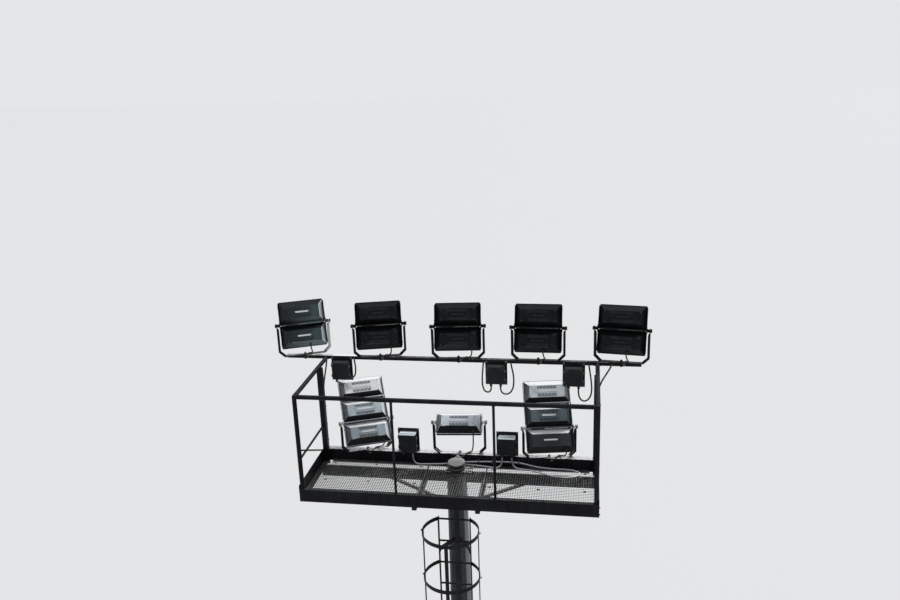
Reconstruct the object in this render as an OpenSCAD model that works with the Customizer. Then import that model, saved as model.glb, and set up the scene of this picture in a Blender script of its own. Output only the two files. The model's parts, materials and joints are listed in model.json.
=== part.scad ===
/* [Pylon] */
// Height of the platform floor above the base flange
floor_z = 24500; // [18000:100:27000]
// Outside diameter of the pole where it meets the base flange
pole_base_d = 560; // [480:10:640]
// Outside diameter of the pole at the platform
pole_top_d = 228; // [200:2:234]
// Number of flat sides of the tapered pole
pole_sides = 12; // [8:4:12]

/* [Base] */
// Diameter of the base flange
flange_d = 820; // [780:10:900]
// Thickness of the base flange
flange_t = 35; // [25:1:50]
// Number of holding-down bolt holes
anchor_count = 12; // [8:4:12]
// Diameter of the holding-down bolt holes
anchor_hole_d = 36; // [26:1:42]
// Diameter of the circle the bolt holes lie on
anchor_circle_d = 700; // [690:5:710]

/* [Platform] */
// Width of the platform along the lamp arms
deck_w = 3200; // [3000:20:3400]
// Distance from the pole axis to the rear edge of the platform
deck_rear = 800; // [760:10:860]
// Height of the channel round the platform
toe_h = 145; // [120:5:160]
// Height of the guardrail above the floor
rail_h = 1178; // [1100:2:1180]
// Outside diameter of the rail tubes
rail_d = 48; // [42:1:54]

/* [Lamp arms] */
// Length of the upper lamp arm
upper_arm_len = 4090; // [4000:10:4300]
// Distance from the pole axis to the middle of the upper lamp arm
upper_arm_y = 398; // [380:2:420]
// Height of the lower lamp arm channel
lower_arm_h = 150; // [140:5:160]
// Depth of the lower lamp arm channel
lower_arm_d = 75; // [70:5:80]

/* [Floodlights] */
// Width of one lamp module
module_w = 520; // [500:5:530]
// Height of one lamp module
module_h = 268; // [240:1:268]
// Distance between the middles of stacked modules
module_pitch = 280; // [270:1:285]
// Outside width of the yoke
yoke_w = 610; // [600:5:620]
// Height of the pivot above the foot of the yoke
yoke_h = 385; // [375:5:400]
// Height of the pivot of a stack of three above the foot of its yoke
stack_yoke_h = 362; // [350:2:370]
// Downward aim of the upper lamps
upper_tilt = 25; // [10:1:40]
// Downward aim of the left stack of three
left_tilt = 44; // [43:1:48]
// Downward aim of the right stack of three
right_tilt = 38; // [37:1:44]
// Downward aim of the single middle lamp
middle_tilt = 56; // [45:1:65]

/* [Ladder] */
// Spacing of the ladder rungs
rung_pitch = 280; // [250:5:300]
// Distance between the middles of the ladder stiles
stile_gap = 360; // [340:5:400]
// Radius of the safety cage
cage_r = 310; // [300:5:340]

/* [Hidden] */

steel_dark = [0.16, 0.17, 0.19];
steel_zinc = [0.47, 0.49, 0.51];
lamp_dark = [0.14, 0.16, 0.18];
lamp_pale = [0.66, 0.70, 0.73];
cable_black = [0.06, 0.06, 0.07];

// Pole: one taper, with a step out at each slip joint where the upper section sleeves the lower
pole_foot_z = flange_t;
pole_top_z = floor_z - 52;
joint_low_z = 9000;
joint_high_z = 17500;
skirt_step = 6;
pole_taper = (pole_base_d + 4 * skirt_step - pole_top_d) / 2 / (pole_top_z - pole_foot_z);
function pole_line(z) = pole_base_d / 2 - pole_taper * (z - pole_foot_z);
function pole_r(z) = pole_line(z) + (z > joint_high_z ? 2 : z > joint_low_z ? 1 : 0) * skirt_step;
flat_turn = 180 / pole_sides;
seam_gap = 0.05;

// The thinner tube that stands on the pole and carries the head
spigot_r = 84;
spigot_top = 88;
head_plate_t = 12;
cap_r = 97;
cap_t = 12;

// Ladder and cage stand on a line that follows the taper of the pole
ladder_top_z = floor_z - 466;
ladder_clear = 182;
ladder_lean = atan(pole_taper);
rungs_per_part = 28;
ladder_parts = 3;
rung_d = 22;
stile_t = 10;
stile_d = 55;
stile_foot = 120;
hoop_every = 2;
hoop_t = 6;
hoop_h = 45;
strap_w = 40;
strap_t = 6;
cage_foot_rungs = 8;
bracket_every = 7;
ladder_y = -(pole_r(ladder_top_z) + ladder_clear);
function ladder_gap(z) = ladder_clear + pole_r(ladder_top_z) + (ladder_top_z - z) * pole_taper - pole_r(z);
cage_y = -sqrt(pow(cage_r, 2) - pow(stile_gap / 2, 2));

// Platform levels
deck_half = deck_w / 2;
toe_low = -40;
toe_t = 6;
toe_flange = 50;
side_toe_h = toe_h + 45;
grate_t = 30;
grate_bar = 5;
grate_pitch = 50;
grate_cross = 100;
beam_h = 100;
beam_w = 60;
bearer_x = 340;
bearer_w = 50;
bearer_h = 35;
brace_x = 780;
brace_d = 42;
brace_drop = 420;
post_w = 60;
arm_face_y = 120;
post_y = arm_face_y - post_w / 2;
post_x = deck_half - toe_t - post_w / 2;
corner_x = deck_half - toe_t - rail_d / 2;
corner_y = -deck_rear + toe_t + rail_d / 2;
thin_post_d = 28;
thin_post_x = 530;
thin_post_y = -deck_rear + toe_t + thin_post_d / 2;
strip_t = 6;
notch_gap = 1;
corner_stub = 50;
mid_rail_z = 450;
mid_rail_d = 25;

// Lamp arms
upper_arm_d = 50;
upper_arm_h = 40;
upper_arm_z = 1188;
arm_wall = 4;
upper_top = upper_arm_z + upper_arm_h / 2;
lower_top = 130;
lower_wall = 7;
lower_y = arm_face_y + lower_arm_d / 2;
stud_r = 8;
stud_gap = 0.08;
nut_h = 13;
nut_r = 15;
stud_up = 32;

// Lamps from left to right: upper arm first, then left stack, middle lamp and right stack
// Each row: x, turn about the upright bolt, downward aim, modules, modules above the pivot
lamps = [
    [-1830, 24, upper_tilt, 2, 1], [-920, 14, upper_tilt, 2, 1], [0, 6, upper_tilt, 2, 1],
    [910, 0, upper_tilt, 2, 1], [1830, -7, upper_tilt, 2, 1],
    [-1075, 23, left_tilt, 3, 2], [20, 5, middle_tilt, 1, 0.5], [1045, 10, right_tilt, 3, 2]
];
upper_count = 5;
yoke_bar = 50;
yoke_t = 6;
yoke_bend = 65;
pivot_r = 6;
pivot_gap = 0.08;
knob_r = 19;
knob_t = 16;
ear_r = 26;
side_gap = 0.5;
module_front = 62;
bezel_t = 34;
bezel_lip = 8;
module_back = -62;
back_w = 404;
back_h = 140;
back_drop = 12;
corner_r = 16;
glass_inset = 20;
glass_depth = 8;
rib_count = 13;
rib_pitch = 16;
rib_t = 6;
rib_out = 5;
plate_out = 4;
side_plate_t = 6;
boss_r = 42;

// Gear boxes: where each stands along its arm
upper_boxes = [-1382, 435, 1309];
lower_boxes = [-579, 569];
upper_box_z = upper_arm_z - upper_arm_h / 2 - 258;
lower_box_y = 166;
plate_w = 250;
plate_h = 290;
plate_t = 6;
box_w = 205;
box_h = 218;
box_d = 96;
box_rise = 34;
box_bevel = 12;
lid_lip = 5;
gland_r = 11;
gland_h = 24;
gland_x = 55;
gland_y = plate_t + 70;
side_gland_up = 30;

cable_r = 9;
cable_sides = 8;

function upper_lamp(i) = i < upper_count;
function foot_z(i) = floor_z + (upper_lamp(i) ? upper_top : lower_top);
function foot_y(i) = upper_lamp(i) ? upper_arm_y : lower_y;
function stacked(i) = lamps[i][3] > 2;
function pivot_h(i) = stacked(i) ? stack_yoke_h : yoke_h;

// A block that tapers from one rectangle up to another, which may lie aside along Y
module frustum(low, high, h, aside = 0) {
    corners = [[-1, -1], [1, -1], [1, 1], [-1, 1]];
    points = concat(
        [for (c = corners) [c[0] * low[0] / 2, c[1] * low[1] / 2, 0]],
        [for (c = corners) [c[0] * high[0] / 2, c[1] * high[1] / 2 + aside, h]]
    );
    sides = [for (k = [0 : 3]) [k, k + 4, (k + 1) % 4 + 4, (k + 1) % 4]];
    polyhedron(points = points, faces = concat([[0, 1, 2, 3], [7, 6, 5, 4]], sides));
}

// A rectangle with round corners, its middle on the origin
module rounded(w, h, r) {
    square([w - 2 * r, h], center = true);
    square([w, h - 2 * r], center = true);
    for (x = [-1, 1])
        for (y = [-1, 1])
            translate([x * (w / 2 - r), y * (h / 2 - r)])
                circle(r = r, $fn = 24);
}

// A tapered stretch of the pole between two heights, some steps outside the taper's line,
// that stops a hair short of the piece above it
module pole_piece(low, high, steps) {
    out = steps * skirt_step;
    translate([0, 0, low])
        rotate([0, 0, flat_turn])
            cylinder(h = high - low - seam_gap, r1 = pole_line(low) + out, r2 = pole_line(high) + out, $fn = pole_sides);
}

module pole_lower() {
    color(steel_zinc)
        pole_piece(pole_foot_z, joint_low_z, 0);
}

module pole_middle() {
    color(steel_zinc)
        pole_piece(joint_low_z, joint_high_z, 1);
}

module pole_upper() {
    color(steel_dark)
        pole_piece(joint_high_z, pole_top_z, 2);
}

module base_flange() {
    gusset_h = 180;
    gusset_t = 16;
    gusset_out = 20;
    gusset_top = 14;
    color(steel_zinc) {
        difference() {
            cylinder(h = flange_t, d = flange_d, $fn = 96);
            for (i = [0 : anchor_count - 1])
                rotate([0, 0, 360 / anchor_count * (i + 0.5)])
                    translate([anchor_circle_d / 2, 0, -1])
                        cylinder(h = flange_t + 2, d = anchor_hole_d, $fn = 32);
        }
        difference() {
            for (i = [0 : anchor_count - 1])
                rotate([0, 0, 360 / anchor_count * i])
                    translate([0, gusset_t / 2, flange_t])
                        rotate([90, 0, 0])
                            linear_extrude(gusset_t)
                                polygon([
                                    [pole_r(flange_t) / 2, 0], [flange_d / 2 - gusset_out, 0],
                                    [flange_d / 2 - gusset_out, gusset_out],
                                    [pole_r(flange_t) + gusset_top, gusset_h], [pole_r(flange_t) / 2, gusset_h]
                                ]);
            pole_lower();
        }
    }
}

// Cover plate on the pole's top, the thinner tube that stands on it and the cap that closes the tube
module head_spigot() {
    color(steel_zinc)
        translate([0, 0, floor_z]) {
            translate([0, 0, pole_top_z - floor_z])
                rotate([0, 0, flat_turn])
                    cylinder(h = head_plate_t, r = pole_top_d / 2, $fn = pole_sides);
            translate([0, 0, toe_low])
                cylinder(h = spigot_top - toe_low, r = spigot_r, $fn = 48);
            translate([0, 0, spigot_top])
                cylinder(h = cap_t, r = cap_r, $fn = 48);
        }
}

// Clamp ring round the tube, with two bolted ears and the saddle that carries the lower arm
module head_bracket() {
    ring_high = 34;
    ring_t = 10;
    ear_len = 185;
    ear_back = spigot_r + 32;
    ear_w = 60;
    ear_t = 10;
    bolt_x = 160;
    saddle_w = 116;
    saddle_top = 76;
    color(steel_dark)
        translate([0, 0, floor_z])
            difference() {
                union() {
                    translate([0, 0, toe_low + strip_t])
                        cylinder(h = ring_high - toe_low - strip_t, r = spigot_r + ring_t, $fn = 64);
                    for (s = [-1, 1])
                        translate([0, s * (spigot_r - ear_w / 2), 0]) {
                            translate([-ear_back, -ear_w / 2, 0])
                                cube([ear_back + ear_len, ear_w, ear_t]);
                            translate([bolt_x, 0, ear_t])
                                cylinder(h = 12, r = 12, $fn = 6);
                            translate([-spigot_r - 12, 0, ear_t])
                                cylinder(h = 18, r = 12, $fn = 6);
                        }
                    translate([0, arm_face_y, 0])
                        rotate([90, 0, 0])
                            linear_extrude(arm_face_y - spigot_r / 2)
                                polygon([
                                    [-saddle_w / 2, toe_low + strip_t], [saddle_w / 2, toe_low + strip_t],
                                    [saddle_w / 2, saddle_top], [8, lower_top - 10], [-8, lower_top - 10],
                                    [-saddle_w / 2, saddle_top]
                                ]);
                }
                translate([0, 0, toe_low - 1])
                    cylinder(h = spigot_top - toe_low + 1, r = spigot_r, $fn = 48);
                translate([0, 0, spigot_top])
                    cylinder(h = 100, r = cap_r, $fn = 48);
            }
}

// Bolted cover of the wiring opening, seated on the flat of the pole that faces +X
module service_door() {
    door_z = 900;
    door_w = 110;
    door_h = 560;
    door_t = 7;
    flat_r = pole_r(door_z + door_h / 2) * cos(flat_turn);
    color(steel_zinc)
        difference() {
            translate([flat_r - door_t, 0, door_z + door_h / 2])
                rotate([0, 90 - ladder_lean, 0])
                    linear_extrude(2 * door_t)
                        rounded(door_h, door_w, 20);
            pole_lower();
        }
}

// Places a child in the frame of the ladder: its origin is the top rung
module at_ladder() {
    translate([0, ladder_y, ladder_top_z])
        rotate([-ladder_lean, 0, 0])
            children();
}

function part_rungs(k) = [for (i = [k * rungs_per_part : (k + 1) * rungs_per_part - 1]) i];

module ladder_part(k) {
    first = k * rungs_per_part;
    length = (rungs_per_part - 1) * rung_pitch;
    top = k == 0 ? 20 : rung_pitch / 2;
    foot = k == ladder_parts - 1 ? stile_foot : rung_pitch / 2;
    color(steel_dark) {
        at_ladder()
            translate([0, 0, -first * rung_pitch]) {
                for (s = [-1, 1])
                    translate([s * stile_gap / 2 - stile_t / 2, -stile_d / 2, -length - foot])
                        cube([stile_t, stile_d, length + foot + top]);
                for (i = [0 : rungs_per_part - 1])
                    translate([-stile_gap / 2, 0, -i * rung_pitch])
                        rotate([0, 90, 0])
                            cylinder(h = stile_gap, d = rung_d, $fn = 24);
            }
        difference() {
            at_ladder()
                for (i = [1 : bracket_every : rungs_per_part - 1])
                    translate([0, 0, -(first + i + 0.5) * rung_pitch])
                        ladder_bracket(ladder_gap(ladder_top_z - (first + i + 0.5) * rung_pitch));
            pole_lower();
            pole_middle();
            pole_upper();
        }
    }
}

// A pair of flat arms from the stiles back into the face of the pole
module ladder_bracket(gap) {
    arm_h = 50;
    bite = 40;
    near = stile_gap / 2 - stile_t / 2;
    for (s = [-1, 1])
        linear_extrude(arm_h)
            polygon([
                [s * near, -20], [s * near, 24], [s * 62, gap + 10], [s * 62, gap + bite],
                [s * 50, gap + bite], [s * 50, gap + 4], [s * (near - 12), 14], [s * (near - 12), -20]
            ]);
}

module ladder_lower() {
    ladder_part(2);
}

module ladder_middle() {
    ladder_part(1);
}

module ladder_upper() {
    ladder_part(0);
}

// One hoop: a flat bar bent round the climber, its ends against the outer faces of the stiles
module hoop() {
    translate([0, 0, -hoop_h / 2])
        difference() {
            translate([0, cage_y, 0])
                rotate_extrude($fn = 96)
                    translate([cage_r, 0])
                        square([hoop_t, hoop_h]);
            translate([-stile_gap / 2 - stile_t / 2, -stile_d, -1])
                cube([stile_gap + stile_t, 3 * stile_d, hoop_h + 2]);
        }
}

module cage_part(k) {
    first = k * rungs_per_part;
    last = k == ladder_parts - 1 ? rungs_per_part - cage_foot_rungs : rungs_per_part - 2;
    top = k == 0 ? hoop_h / 2 : hoop_every * rung_pitch / 2;
    foot = k == ladder_parts - 1 ? hoop_h / 2 : hoop_every * rung_pitch / 2;
    color(steel_dark)
        at_ladder()
            translate([0, 0, -first * rung_pitch]) {
                for (i = [0 : hoop_every : last])
                    translate([0, 0, -i * rung_pitch])
                        hoop();
                for (a = [0, 180, 270])
                    translate([0, cage_y, -last * rung_pitch - foot])
                        rotate([0, 0, a])
                            translate([cage_r - strap_t, -strap_w / 2, 0])
                                cube([strap_t + 1, strap_w, last * rung_pitch + foot + top]);
            }
}

module cage_lower() {
    cage_part(2);
}

module cage_middle() {
    cage_part(1);
}

module cage_upper() {
    cage_part(0);
}

// Two halves of the beam that carries the floor, with packing strips up to the grating
module main_beam() {
    strip_end = deck_half - toe_flange;
    color(steel_dark)
        difference() {
            translate([0, 0, floor_z + toe_low])
                for (s = [-1, 1])
                    mirror([s < 0 ? 1 : 0, 0, 0]) {
                        translate([40, -beam_w / 2, -beam_h])
                            cube([deck_half - toe_t - 40, beam_w, beam_h]);
                        translate([pole_top_d / 2, -beam_w / 2, 0])
                            cube([strip_end - pole_top_d / 2, beam_w, strip_t]);
                    }
            pole_upper();
            head_spigot();
        }
}

// Two channels from the rear of the platform to the beam, one each side of the climbing space
module hatch_bearers() {
    color(steel_dark)
        translate([0, 0, floor_z + toe_low])
            for (s = [-1, 1])
                translate([s * bearer_x - bearer_w / 2, 0, 0]) {
                    translate([0, -deck_rear, -bearer_h])
                        cube([bearer_w, deck_rear - beam_w / 2, bearer_h]);
                    translate([0, -deck_rear + toe_flange, 0])
                        cube([bearer_w, deck_rear - toe_flange - beam_w / 2, strip_t]);
                }
}

// Raking tubes from the underside of the beam down to the pole
module under_braces() {
    beam_under = toe_low - beam_h;
    rise = brace_drop + beam_under;
    run = brace_x - pole_r(floor_z - brace_drop);
    lean = atan(run / rise);
    over = 60;
    color(steel_dark)
        difference() {
            translate([0, 0, floor_z])
                for (s = [-1, 1])
                    translate([s * brace_x, 0, beam_under])
                        rotate([0, s * lean, 0])
                            translate([0, 0, -norm([run, rise]) - over])
                                rotate([0, 0, 90])
                                    cylinder(h = norm([run, rise]) + 2 * over, d = brace_d, $fn = 24);
            translate([-deck_half, -brace_d, floor_z + beam_under])
                cube([deck_w, 2 * brace_d, 200]);
            pole_upper();
        }
}

// A channel section along +X, its web on the -Y side
module channel(length, height, flange, wall) {
    rotate([90, 0, 90])
        linear_extrude(length)
            polygon([
                [0, 0], [flange, 0], [flange, wall], [wall, wall], [wall, height - wall],
                [flange, height - wall], [flange, height], [0, height]
            ]);
}

module frame_rear() {
    color(steel_dark)
        difference() {
            translate([-deck_half + toe_t, -deck_rear, floor_z + toe_low])
                channel(deck_w - 2 * toe_t, toe_h, toe_flange, toe_t);
            translate([0, 0, floor_z + toe_low + toe_h / 2])
                for (s = [-1, 1]) {
                    translate([s * corner_x, corner_y, 0])
                        cylinder(h = toe_h, d = rail_d + notch_gap, $fn = 32);
                    translate([s * deck_half, corner_y + toe_flange / 2, toe_h / 2])
                        cube([2 * toe_t + rail_d, toe_flange, toe_h], center = true);
                    translate([s * thin_post_x, thin_post_y, 0])
                        cylinder(h = toe_h, d = thin_post_d + notch_gap, $fn = 32);
                }
        }
}

// Side of the platform: an upright plate on an inward lip that the grating and the post rest on
module frame_side() {
    translate([deck_half - toe_t, -deck_rear, toe_low])
        cube([toe_t, deck_rear + arm_face_y, side_toe_h]);
    translate([deck_half - toe_flange, -deck_rear + toe_flange, toe_low])
        cube([toe_flange, deck_rear - toe_flange + arm_face_y, toe_t]);
}

module frame_left() {
    color(steel_dark)
        translate([0, 0, floor_z])
            mirror([1, 0, 0])
                frame_side();
}

module frame_right() {
    color(steel_dark)
        translate([0, 0, floor_z])
            frame_side();
}

// Welded grating: bearing bars run across the platform, cross bars along it
module grating(low_x, high_x) {
    low_y = -deck_rear + toe_t;
    high_y = arm_face_y;
    edge = 6;
    bars = floor((high_x - low_x - edge) / grate_pitch);
    rows = floor((high_y - low_y - edge) / grate_cross);
    color(steel_zinc)
        translate([0, 0, floor_z])
            difference() {
                union() {
                    for (i = [1 : bars])
                        translate([low_x + (high_x - low_x) * i / (bars + 1) - grate_bar / 2, low_y, toe_low + toe_t])
                            cube([grate_bar, high_y - low_y, grate_t]);
                    for (i = [1 : rows])
                        translate([low_x, low_y + (high_y - low_y) * i / (rows + 1) - grate_bar / 2, toe_low + toe_t + 10])
                            cube([high_x - low_x, grate_bar, grate_t - 10]);
                    for (y = [low_y, high_y - edge])
                        translate([low_x, y, toe_low + toe_t])
                            cube([high_x - low_x, edge, grate_t]);
                    for (x = [low_x, high_x - edge])
                        translate([x, low_y, toe_low + toe_t])
                            cube([edge, high_y - low_y, grate_t]);
                }
                cylinder(h = 400, r = spigot_r + 20, center = true, $fn = 64);
                translate([-70, 0, -200])
                    cube([140, 400, 400]);
                for (s = [-1, 1]) {
                    translate([s * (deck_half - 50), post_y + 10, 0])
                        cube([100, post_w + 30, 400], center = true);
                    translate([s * (deck_half - 28), corner_y, 0])
                        cube([60, rail_d + 12, 400], center = true);
                    translate([s * thin_post_x, thin_post_y, 0])
                        cube([thin_post_d + 8, thin_post_d + 12, 400], center = true);
                }
            }
}

module floor_left() {
    grating(-deck_half + toe_t, -bearer_x - 1);
}

module floor_middle() {
    grating(-bearer_x + 1, bearer_x - 1);
}

module floor_right() {
    grating(bearer_x + 1, deck_half - toe_t);
}

// An upright tube of the guardrail, from the lip of the channel to the rail
module upright(x, y, d, top) {
    translate([x, y, toe_low + toe_t])
        cylinder(h = top - toe_low - toe_t, d = d, $fn = 32);
}

// Rear rail with its corner posts, and the bends it makes into the side rails
module guardrail_rear() {
    color(steel_dark)
        translate([0, 0, floor_z]) {
            for (s = [-1, 1]) {
                upright(s * corner_x, corner_y, rail_d, rail_h);
                translate([s * corner_x, corner_y, rail_h]) {
                    sphere(d = rail_d, $fn = 32);
                    rotate([-90, 0, 0])
                        cylinder(h = corner_stub, d = rail_d, $fn = 32);
                }
                upright(s * thin_post_x, thin_post_y, thin_post_d, rail_h);
            }
            translate([-corner_x, corner_y, rail_h])
                rotate([0, 90, 0])
                    cylinder(h = 2 * corner_x, d = rail_d, $fn = 32);
        }
}

// Side frame: top rail out to a shoe on the lamp arm, front post, mid rail and a diagonal
module guardrail_side() {
    shoe_t = 8;
    shoe_w = 80;
    shoe_h = upper_arm_h - 8;
    arm_rear = upper_arm_y - upper_arm_d / 2;
    brace_low = [post_y - post_w / 2, 140];
    brace_high = [corner_y, 560];
    brace_run = brace_high - brace_low;
    translate([corner_x, corner_y + corner_stub, rail_h])
        rotate([-90, 0, 0])
            cylinder(h = arm_rear - shoe_t - corner_y - corner_stub, d = rail_d, $fn = 32);
    translate([corner_x - shoe_w / 2, arm_rear - shoe_t, upper_arm_z - upper_arm_h / 2])
        cube([shoe_w, shoe_t, shoe_h]);
    for (s = [-1, 1])
        translate([corner_x + s * (shoe_w / 2 - 9), arm_rear - shoe_t - 6, upper_arm_z])
            rotate([-90, 0, 0])
                cylinder(h = 7, r = 8, $fn = 6);
    translate([post_x - post_w / 2, post_y - post_w / 2, toe_low + toe_t])
        cube([post_w, post_w, rail_h - rail_d / 2 + 6 - toe_low - toe_t]);
    difference() {
        union() {
            translate([corner_x, corner_y, mid_rail_z])
                rotate([-90, 0, 0])
                    cylinder(h = post_y - post_w / 2 - corner_y, d = mid_rail_d, $fn = 24);
            translate([corner_x, brace_low[0], brace_low[1]])
                rotate([atan2(-brace_run[0], brace_run[1]), 0, 0])
                    translate([0, 0, -20])
                        cylinder(h = norm(brace_run) + 40, d = mid_rail_d - 7, $fn = 24);
        }
        translate([corner_x, corner_y, 0])
            cylinder(h = rail_h, d = rail_d, $fn = 32);
        translate([corner_x - 50, corner_y - 100, 0])
            cube([100, 100, rail_h]);
        translate([post_x - post_w / 2, post_y - post_w / 2, 0])
            cube([100, 100, rail_h]);
    }
}

module guardrail_left() {
    color(steel_dark)
        translate([0, 0, floor_z])
            mirror([1, 0, 0])
                guardrail_side();
}

module guardrail_right() {
    color(steel_dark)
        translate([0, 0, floor_z])
            guardrail_side();
}

// The bolt a yoke turns on: nut under the arm, washer and nut above the yoke
module yoke_stud(depth) {
    translate([0, 0, -depth - nut_h])
        cylinder(h = nut_h, r = nut_r, $fn = 6);
    translate([0, 0, -depth - 1])
        cylinder(h = depth + stud_up, r = stud_r, $fn = 32);
    translate([0, 0, yoke_t + side_gap])
        cylinder(h = 4, r = nut_r + 5, $fn = 32);
    translate([0, 0, yoke_t + side_gap + 4])
        cylinder(h = nut_h, r = nut_r, $fn = 6);
}

module upper_arm() {
    color(steel_dark)
        translate([0, upper_arm_y, floor_z + upper_arm_z]) {
            difference() {
                cube([upper_arm_len, upper_arm_d, upper_arm_h], center = true);
                cube([upper_arm_len + 2, upper_arm_d - 2 * arm_wall, upper_arm_h - 2 * arm_wall], center = true);
            }
            for (i = [0 : upper_count - 1])
                translate([lamps[i][0], 0, upper_arm_h / 2])
                    yoke_stud(upper_arm_h);
        }
}

module lower_arm() {
    color(steel_dark)
        translate([0, 0, floor_z]) {
            translate([-deck_half + toe_t, arm_face_y, lower_top - lower_arm_h])
                channel(deck_w - 2 * toe_t, lower_arm_h, lower_arm_d, lower_wall);
            for (i = [upper_count : len(lamps) - 1])
                translate([lamps[i][0], lower_y, lower_top])
                    yoke_stud(lower_wall);
        }
}

// Control gear: a backing plate with a bevelled housing, its lid and two cable glands.
// Where a lamp swings close below, the right gland is on the side of the housing
module gear_box(side_gland) {
    lid_t = 14;
    color(steel_dark) {
        translate([-plate_w / 2, -plate_t, 0])
            cube([plate_w, plate_t, plate_h]);
        translate([0, -plate_t, box_rise + box_h / 2])
            rotate([90, 0, 0]) {
                linear_extrude(box_d - box_bevel - lid_t)
                    rounded(box_w - 2 * lid_lip, box_h - 2 * lid_lip, 8);
                translate([0, 0, box_d - box_bevel - lid_t])
                    linear_extrude(lid_t)
                        square([box_w, box_h], center = true);
                translate([0, 0, box_d - box_bevel])
                    frustum([box_w, box_h], [box_w - 2 * box_bevel, box_h - 2 * box_bevel], box_bevel);
            }
        for (x = side_gland ? [-gland_x] : [-gland_x, gland_x])
            translate([x, -gland_y, box_rise + lid_lip - gland_h])
                cylinder(h = gland_h + 1, r = gland_r, $fn = 24);
        if (side_gland)
            translate([box_w / 2 - lid_lip - 1, -gland_y, box_rise + side_gland_up])
                rotate([0, 90, 0])
                    cylinder(h = gland_h + 1, r = gland_r, $fn = 24);
    }
}

module gear_boxes_upper() {
    for (x = upper_boxes)
        translate([x, upper_arm_y - upper_arm_d / 2, floor_z + upper_box_z])
            gear_box(x == upper_boxes[0]);
}

module gear_boxes_lower() {
    for (x = lower_boxes)
        translate([x, lower_box_y, floor_z + lower_top])
            gear_box(false);
}

// Places a child in a yoke: its origin is the middle of the foot, turned about the bolt
module at_yoke(i) {
    translate([lamps[i][0], foot_y(i), foot_z(i)])
        rotate([0, 0, lamps[i][1]])
            children();
}

// Places a child on the tilting pivot, with the lamp's aim along +Y
module at_lamp(i) {
    at_yoke(i)
        translate([0, 0, pivot_h(i)])
            rotate([-lamps[i][2], 0, 0])
                children();
}

// Flat bar bent to a U with chamfered corners and round ears
module yoke(i) {
    half = yoke_w / 2;
    rise = pivot_h(i);
    inner = yoke_bend + yoke_t * tan(22.5);
    color(upper_lamp(i) ? steel_dark : steel_zinc)
        at_yoke(i)
            difference() {
                union() {
                    translate([0, yoke_bar / 2, 0])
                        rotate([90, 0, 0])
                            linear_extrude(yoke_bar)
                                polygon([
                                    [-half, rise], [-half, yoke_bend], [-half + yoke_bend, 0],
                                    [half - yoke_bend, 0], [half, yoke_bend], [half, rise],
                                    [half - yoke_t, rise], [half - yoke_t, inner],
                                    [half - inner, yoke_t], [-half + inner, yoke_t],
                                    [-half + yoke_t, inner], [-half + yoke_t, rise]
                                ]);
                    for (x = [-half, half - yoke_t])
                        translate([x, 0, rise])
                            rotate([0, 90, 0])
                                cylinder(h = yoke_t, r = ear_r, $fn = 48);
                }
                translate([0, 0, -1])
                    cylinder(h = yoke_t + 2, r = stud_r + stud_gap, $fn = 32);
                translate([-half - 1, 0, rise])
                    rotate([0, 90, 0])
                        cylinder(h = yoke_w + 2, r = pivot_r + pivot_gap, $fn = 32);
            }
}

module yoke_1() {
    yoke(0);
}

module yoke_2() {
    yoke(1);
}

module yoke_3() {
    yoke(2);
}

module yoke_4() {
    yoke(3);
}

module yoke_5() {
    yoke(4);
}

module yoke_6() {
    yoke(5);
}

module yoke_7() {
    yoke(6);
}

module yoke_8() {
    yoke(7);
}

// One lamp module: a round-cornered front frame with its glass recess, and a bevelled back pan,
// its flat back set low, that carries two rows of short ribs with a bare raised plate between them
module lamp_module() {
    bare_w = 230;
    difference() {
        union() {
            translate([0, module_front, 0])
                rotate([90, 0, 0])
                    linear_extrude(bezel_t)
                        rounded(module_w, module_h, corner_r);
            translate([0, module_front - bezel_t, 0])
                rotate([90, 0, 0])
                    frustum(
                        [module_w - 2 * bezel_lip, module_h - 2 * bezel_lip], [back_w, back_h],
                        module_front - bezel_t - module_back, -back_drop
                    );
        }
        translate([0, module_front + 1, 0])
            rotate([90, 0, 0])
                linear_extrude(glass_depth + 1)
                    rounded(module_w - 2 * glass_inset, module_h - 2 * glass_inset, corner_r / 2);
    }
    for (row = [[20, 30], [-72, 34]])
        for (k = [0 : rib_count - 1])
            translate([(k - (rib_count - 1) / 2) * rib_pitch - rib_t / 2, module_back - rib_out, row[0]])
                cube([rib_t, rib_out + 1, row[1]]);
    translate([-bare_w / 2, module_back - plate_out, -22])
        cube([bare_w, plate_out + 1, 26]);
}

// A lamp: its modules between two side plates, with the pivot pins, bosses and knobs
module lamp(i) {
    count = lamps[i][3];
    above = lamps[i][4];
    low = -(count - above) * module_pitch;
    high = above * module_pitch;
    side = yoke_w / 2 - yoke_t - side_gap;
    knob_start = side + yoke_t + 2 * side_gap;
    plate_in = module_w / 2 - 1;
    plate_cut = 30;
    color(upper_lamp(i) ? lamp_dark : lamp_pale)
        at_lamp(i) {
            for (k = [0 : count - 1])
                translate([0, 0, high - (k + 0.5) * module_pitch])
                    lamp_module();
            for (s = [-1, 1])
                mirror([s < 0 ? 1 : 0, 0, 0]) {
                    translate([plate_in, -14, low + plate_cut])
                        cube([side_plate_t, 60, high - low - 2 * plate_cut]);
                    translate([plate_in, 0, 0])
                        rotate([0, 90, 0]) {
                            cylinder(h = side_plate_t + 4, r = boss_r, $fn = 48);
                            cylinder(h = side - plate_in, r = knob_r, $fn = 32);
                        }
                    translate([side - 1, 0, 0])
                        rotate([0, 90, 0])
                            cylinder(h = knob_start - side + 2, r = pivot_r, $fn = 32);
                    translate([knob_start, 0, 0])
                        rotate([0, 90, 0])
                            cylinder(h = knob_t, r = knob_r, $fn = 32);
                }
            for (k = [1 : 1 : count - 1])
                translate([-plate_in, module_back + 40, high - k * module_pitch - 6])
                    cube([2 * plate_in, 14, 12]);
        }
}

module lamp_1() {
    lamp(0);
}

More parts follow.
